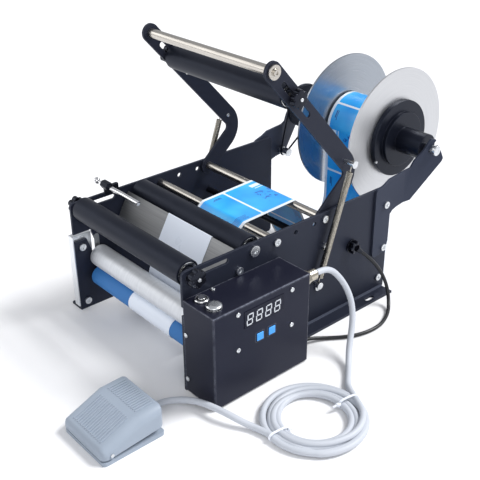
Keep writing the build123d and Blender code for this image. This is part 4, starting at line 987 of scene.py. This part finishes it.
# lead plug: a round flange with a lobed locking ring, and a boot along the lead
plug = {"flange": 0.0085, "flangeThick": 0.0018, "ring": 0.0068, "lobe": 0.0014, "ringLong": 0.0062, "boot": (0.0042, 0.0027),
        "bootLong": 0.0085}
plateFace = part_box("sensor_plug")[0].x
plugY, plugZ = sensorLead["points"][0][1] - 0.004, sensorLead["points"][0][2] + 0.003
plugFlange = bar(plug["flange"], plateFace, plateFace + plug["flangeThick"], plugY, plugZ, 48)
roundEdges(plugFlange, 0.0005)
ringStart = plateFace + plug["flangeThick"]
plugRing = bar(plug["ring"], ringStart, ringStart + plug["ringLong"], plugY, plugZ, 96)
for vertex in plugRing.data.vertices:
    dy, dz = vertex.co.y - plugY, vertex.co.z - plugZ
    swell = 1 + plug["lobe"] / plug["ring"] * cos(6 * atan2(dz, dy))
    vertex.co.y, vertex.co.z = plugY + dy * swell, plugZ + dz * swell
roundEdges(plugRing, 0.0008, 2, 60)
leadStart, leadNext = Vector(sensorLead["points"][0]), Vector(sensorLead["points"][1])
deselectAll()
bpy.ops.mesh.primitive_cone_add(vertices=32, radius1=plug["boot"][0], radius2=plug["boot"][1], depth=plug["bootLong"])
boot = settle(bpy.context.object)
lean = (leadNext - leadStart).to_track_quat("Z", "X").to_matrix().to_4x4()
bootMiddle = leadStart + (leadNext - leadStart).normalized() * plug["bootLong"] * 0.15
boot.data.transform(Matrix.Translation(bootMiddle) @ lean)
plugBody = finished(joined([plugFlange, plugRing, boot]), "sensorPlug", "frame", knobPlastic)
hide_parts("sensor_plug")


# pedal: a treadle with broad shoulders and fine ribs along it in two panels, and the head of its hinge pin
pedal = {"x": 0.0949, "near": -0.2992, "far": -0.2256, "wide": 0.0738, "frontLow": 0.0055, "backLow": 0.0115, "shoulder": 0.01,
         "profile": ((0, 0.0162), (0.6, 0.0338), (1, 0.0345)), "ribs": 15, "ribWide": 0.0017, "ribProud": 0.0011,
         "panels": ((0, 0.09, 0.53), (1, 0.65, 0.94)), "ribSpan": 0.0475, "pin": 0.002, "pinLong": 0.0016,
         "pinAt": (0.1324, -0.2886, 0.0098)}


def makeTreadle():
    deep = pedal["far"] - pedal["near"]
    deselectAll()
    bpy.ops.mesh.primitive_cube_add(size=2)
    body = settle(bpy.context.object)
    selectFaces(body, lambda normal: abs(normal.y) < 0.5)
    mesh = bmesh.from_edit_mesh(body.data)
    for edge in mesh.edges:
        edge.select_set(abs(edge.verts[0].co.y + edge.verts[1].co.y) < 0.5)
    bmesh.update_edit_mesh(body.data)
    bpy.ops.mesh.subdivide(number_cuts=1)
    objectMode()
    weights = body.data.attributes.new("bevel_weight_edge", "FLOAT", "EDGE")
    for edge in body.data.edges:
        first, second = [body.data.vertices[index].co for index in edge.vertices]
        middle = (first + second) / 2
        if abs(middle.z) < 0.5 and abs(middle.y) > 0.9:
            weights.data[edge.index].value = 0.72
        elif middle.z > 0.5 and abs(middle.y) > 0.9:
            weights.data[edge.index].value = 0.5 if middle.y < 0 else 0.3
        elif middle.z > 0.5 and abs(middle.x) > 0.5:
            weights.data[edge.index].value = 1.0
    for vertex in body.data.vertices:
        along, top = pedal["profile"][round(vertex.co.y) + 1]
        low = pedal["frontLow"] + (pedal["backLow"] - pedal["frontLow"]) * along
        vertex.co = (pedal["x"] + vertex.co.x * pedal["wide"] / 2, pedal["near"] + along * deep, top if vertex.co.z > 0 else low)
    bevel = body.modifiers.new("bevel", "BEVEL")
    bevel.width, bevel.segments, bevel.limit_method = pedal["shoulder"], 8, "WEIGHT"
    applyAll(body)
    pieces = [body]
    for part, near, far in pedal["panels"]:
        (a0, z0), (a1, z1) = pedal["profile"][part:part + 2]
        slope = atan2(z1 - z0, (a1 - a0) * deep)
        rib = block((pedal["ribWide"], (far - near) * deep / cos(slope), pedal["ribProud"] * 2))
        roundEdges(rib, 0.0005)
        middle = (near + far) / 2
        height = z0 + (z1 - z0) * (middle - a0) / (a1 - a0)
        for index in range(pedal["ribs"]):
            across = (index / (pedal["ribs"] - 1) - 0.5) * pedal["ribSpan"]
            place = (pedal["x"] + across, pedal["near"] + deep * middle, height)
            pieces.append(copied(rib, place, Matrix.Rotation(slope, 4, "X")))
        bpy.data.objects.remove(rib)
    return joined(pieces)


treadle = finished(makeTreadle(), "pedalTreadle", bodyOf["pedal_treadle"], pedalPaint, even=True)
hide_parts("pedal_treadle")
pedalPin = rod(pedal["pin"], pedal["pinLong"], pedal["pinAt"], (0, pi / 2, 0), 24)
finished(pedalPin, "pedalPin", "frame", boltZinc, 0.0004)
print("pedal shaped")


# studio: pale floor, white backdrop and soft lights
studio = {"floor": (0.86, 0.86, 0.87), "lamps": (
    ("keySun", "SUN", (0.9, 1.6, 2.1), radians(24), 3.3), ("frontLamp", "AREA", (1.9, -1.6, 1.5), 1.8, 22),
    ("sideLamp", "AREA", (-1.6, -1.5, 1.2), 1.6, 12)), "aim": {"SUN": (0, 0, 0), "AREA": (0, 0, 0.1)}}
deselectAll()
bpy.ops.mesh.primitive_plane_add(size=12, location=(0, 0, -0.0002))
floor = bpy.context.object
floor.name = "studioFloor"
floorFinish, tree, shader = startMaterial("studioFloor")
shader.inputs["Base Color"].default_value = (*studio["floor"], 1)
shader.inputs["Roughness"].default_value = 0.9
shader.inputs["Specular IOR Level"].default_value = 0.1
floor.data.materials.append(floorFinish)
for name, kind, place, size, power in studio["lamps"]:
    deselectAll()
    bpy.ops.object.light_add(type=kind, location=place)
    lamp = bpy.context.object
    lamp.name, lamp.data.energy = name, power
    setattr(lamp.data, "angle" if kind == "SUN" else "size", size)
    lamp.rotation_euler = (Vector(studio["aim"][kind]) - Vector(place)).to_track_quat("-Z", "Y").to_euler()
world = bpy.data.worlds.new("studioWorld")
scene.world = world
world.use_nodes = True
tree = world.node_tree
sky = tree.nodes["Background"]
sky.inputs[0].default_value, sky.inputs[1].default_value = (0.93, 0.95, 1, 1), 0.5
white = addNode(tree, "Background", {0: (1, 1, 1, 1), 1: 1.0}).outputs[0]
seen = addNode(tree, "LightPath").outputs["Is Camera Ray"]
backdrop = addNode(tree, "MixShader", {0: seen, 1: sky.outputs[0], 2: white}).outputs[0]
tree.links.new(backdrop, tree.nodes["World Output"].inputs[0])
scene.view_settings.view_transform = "Standard"

print("finished")
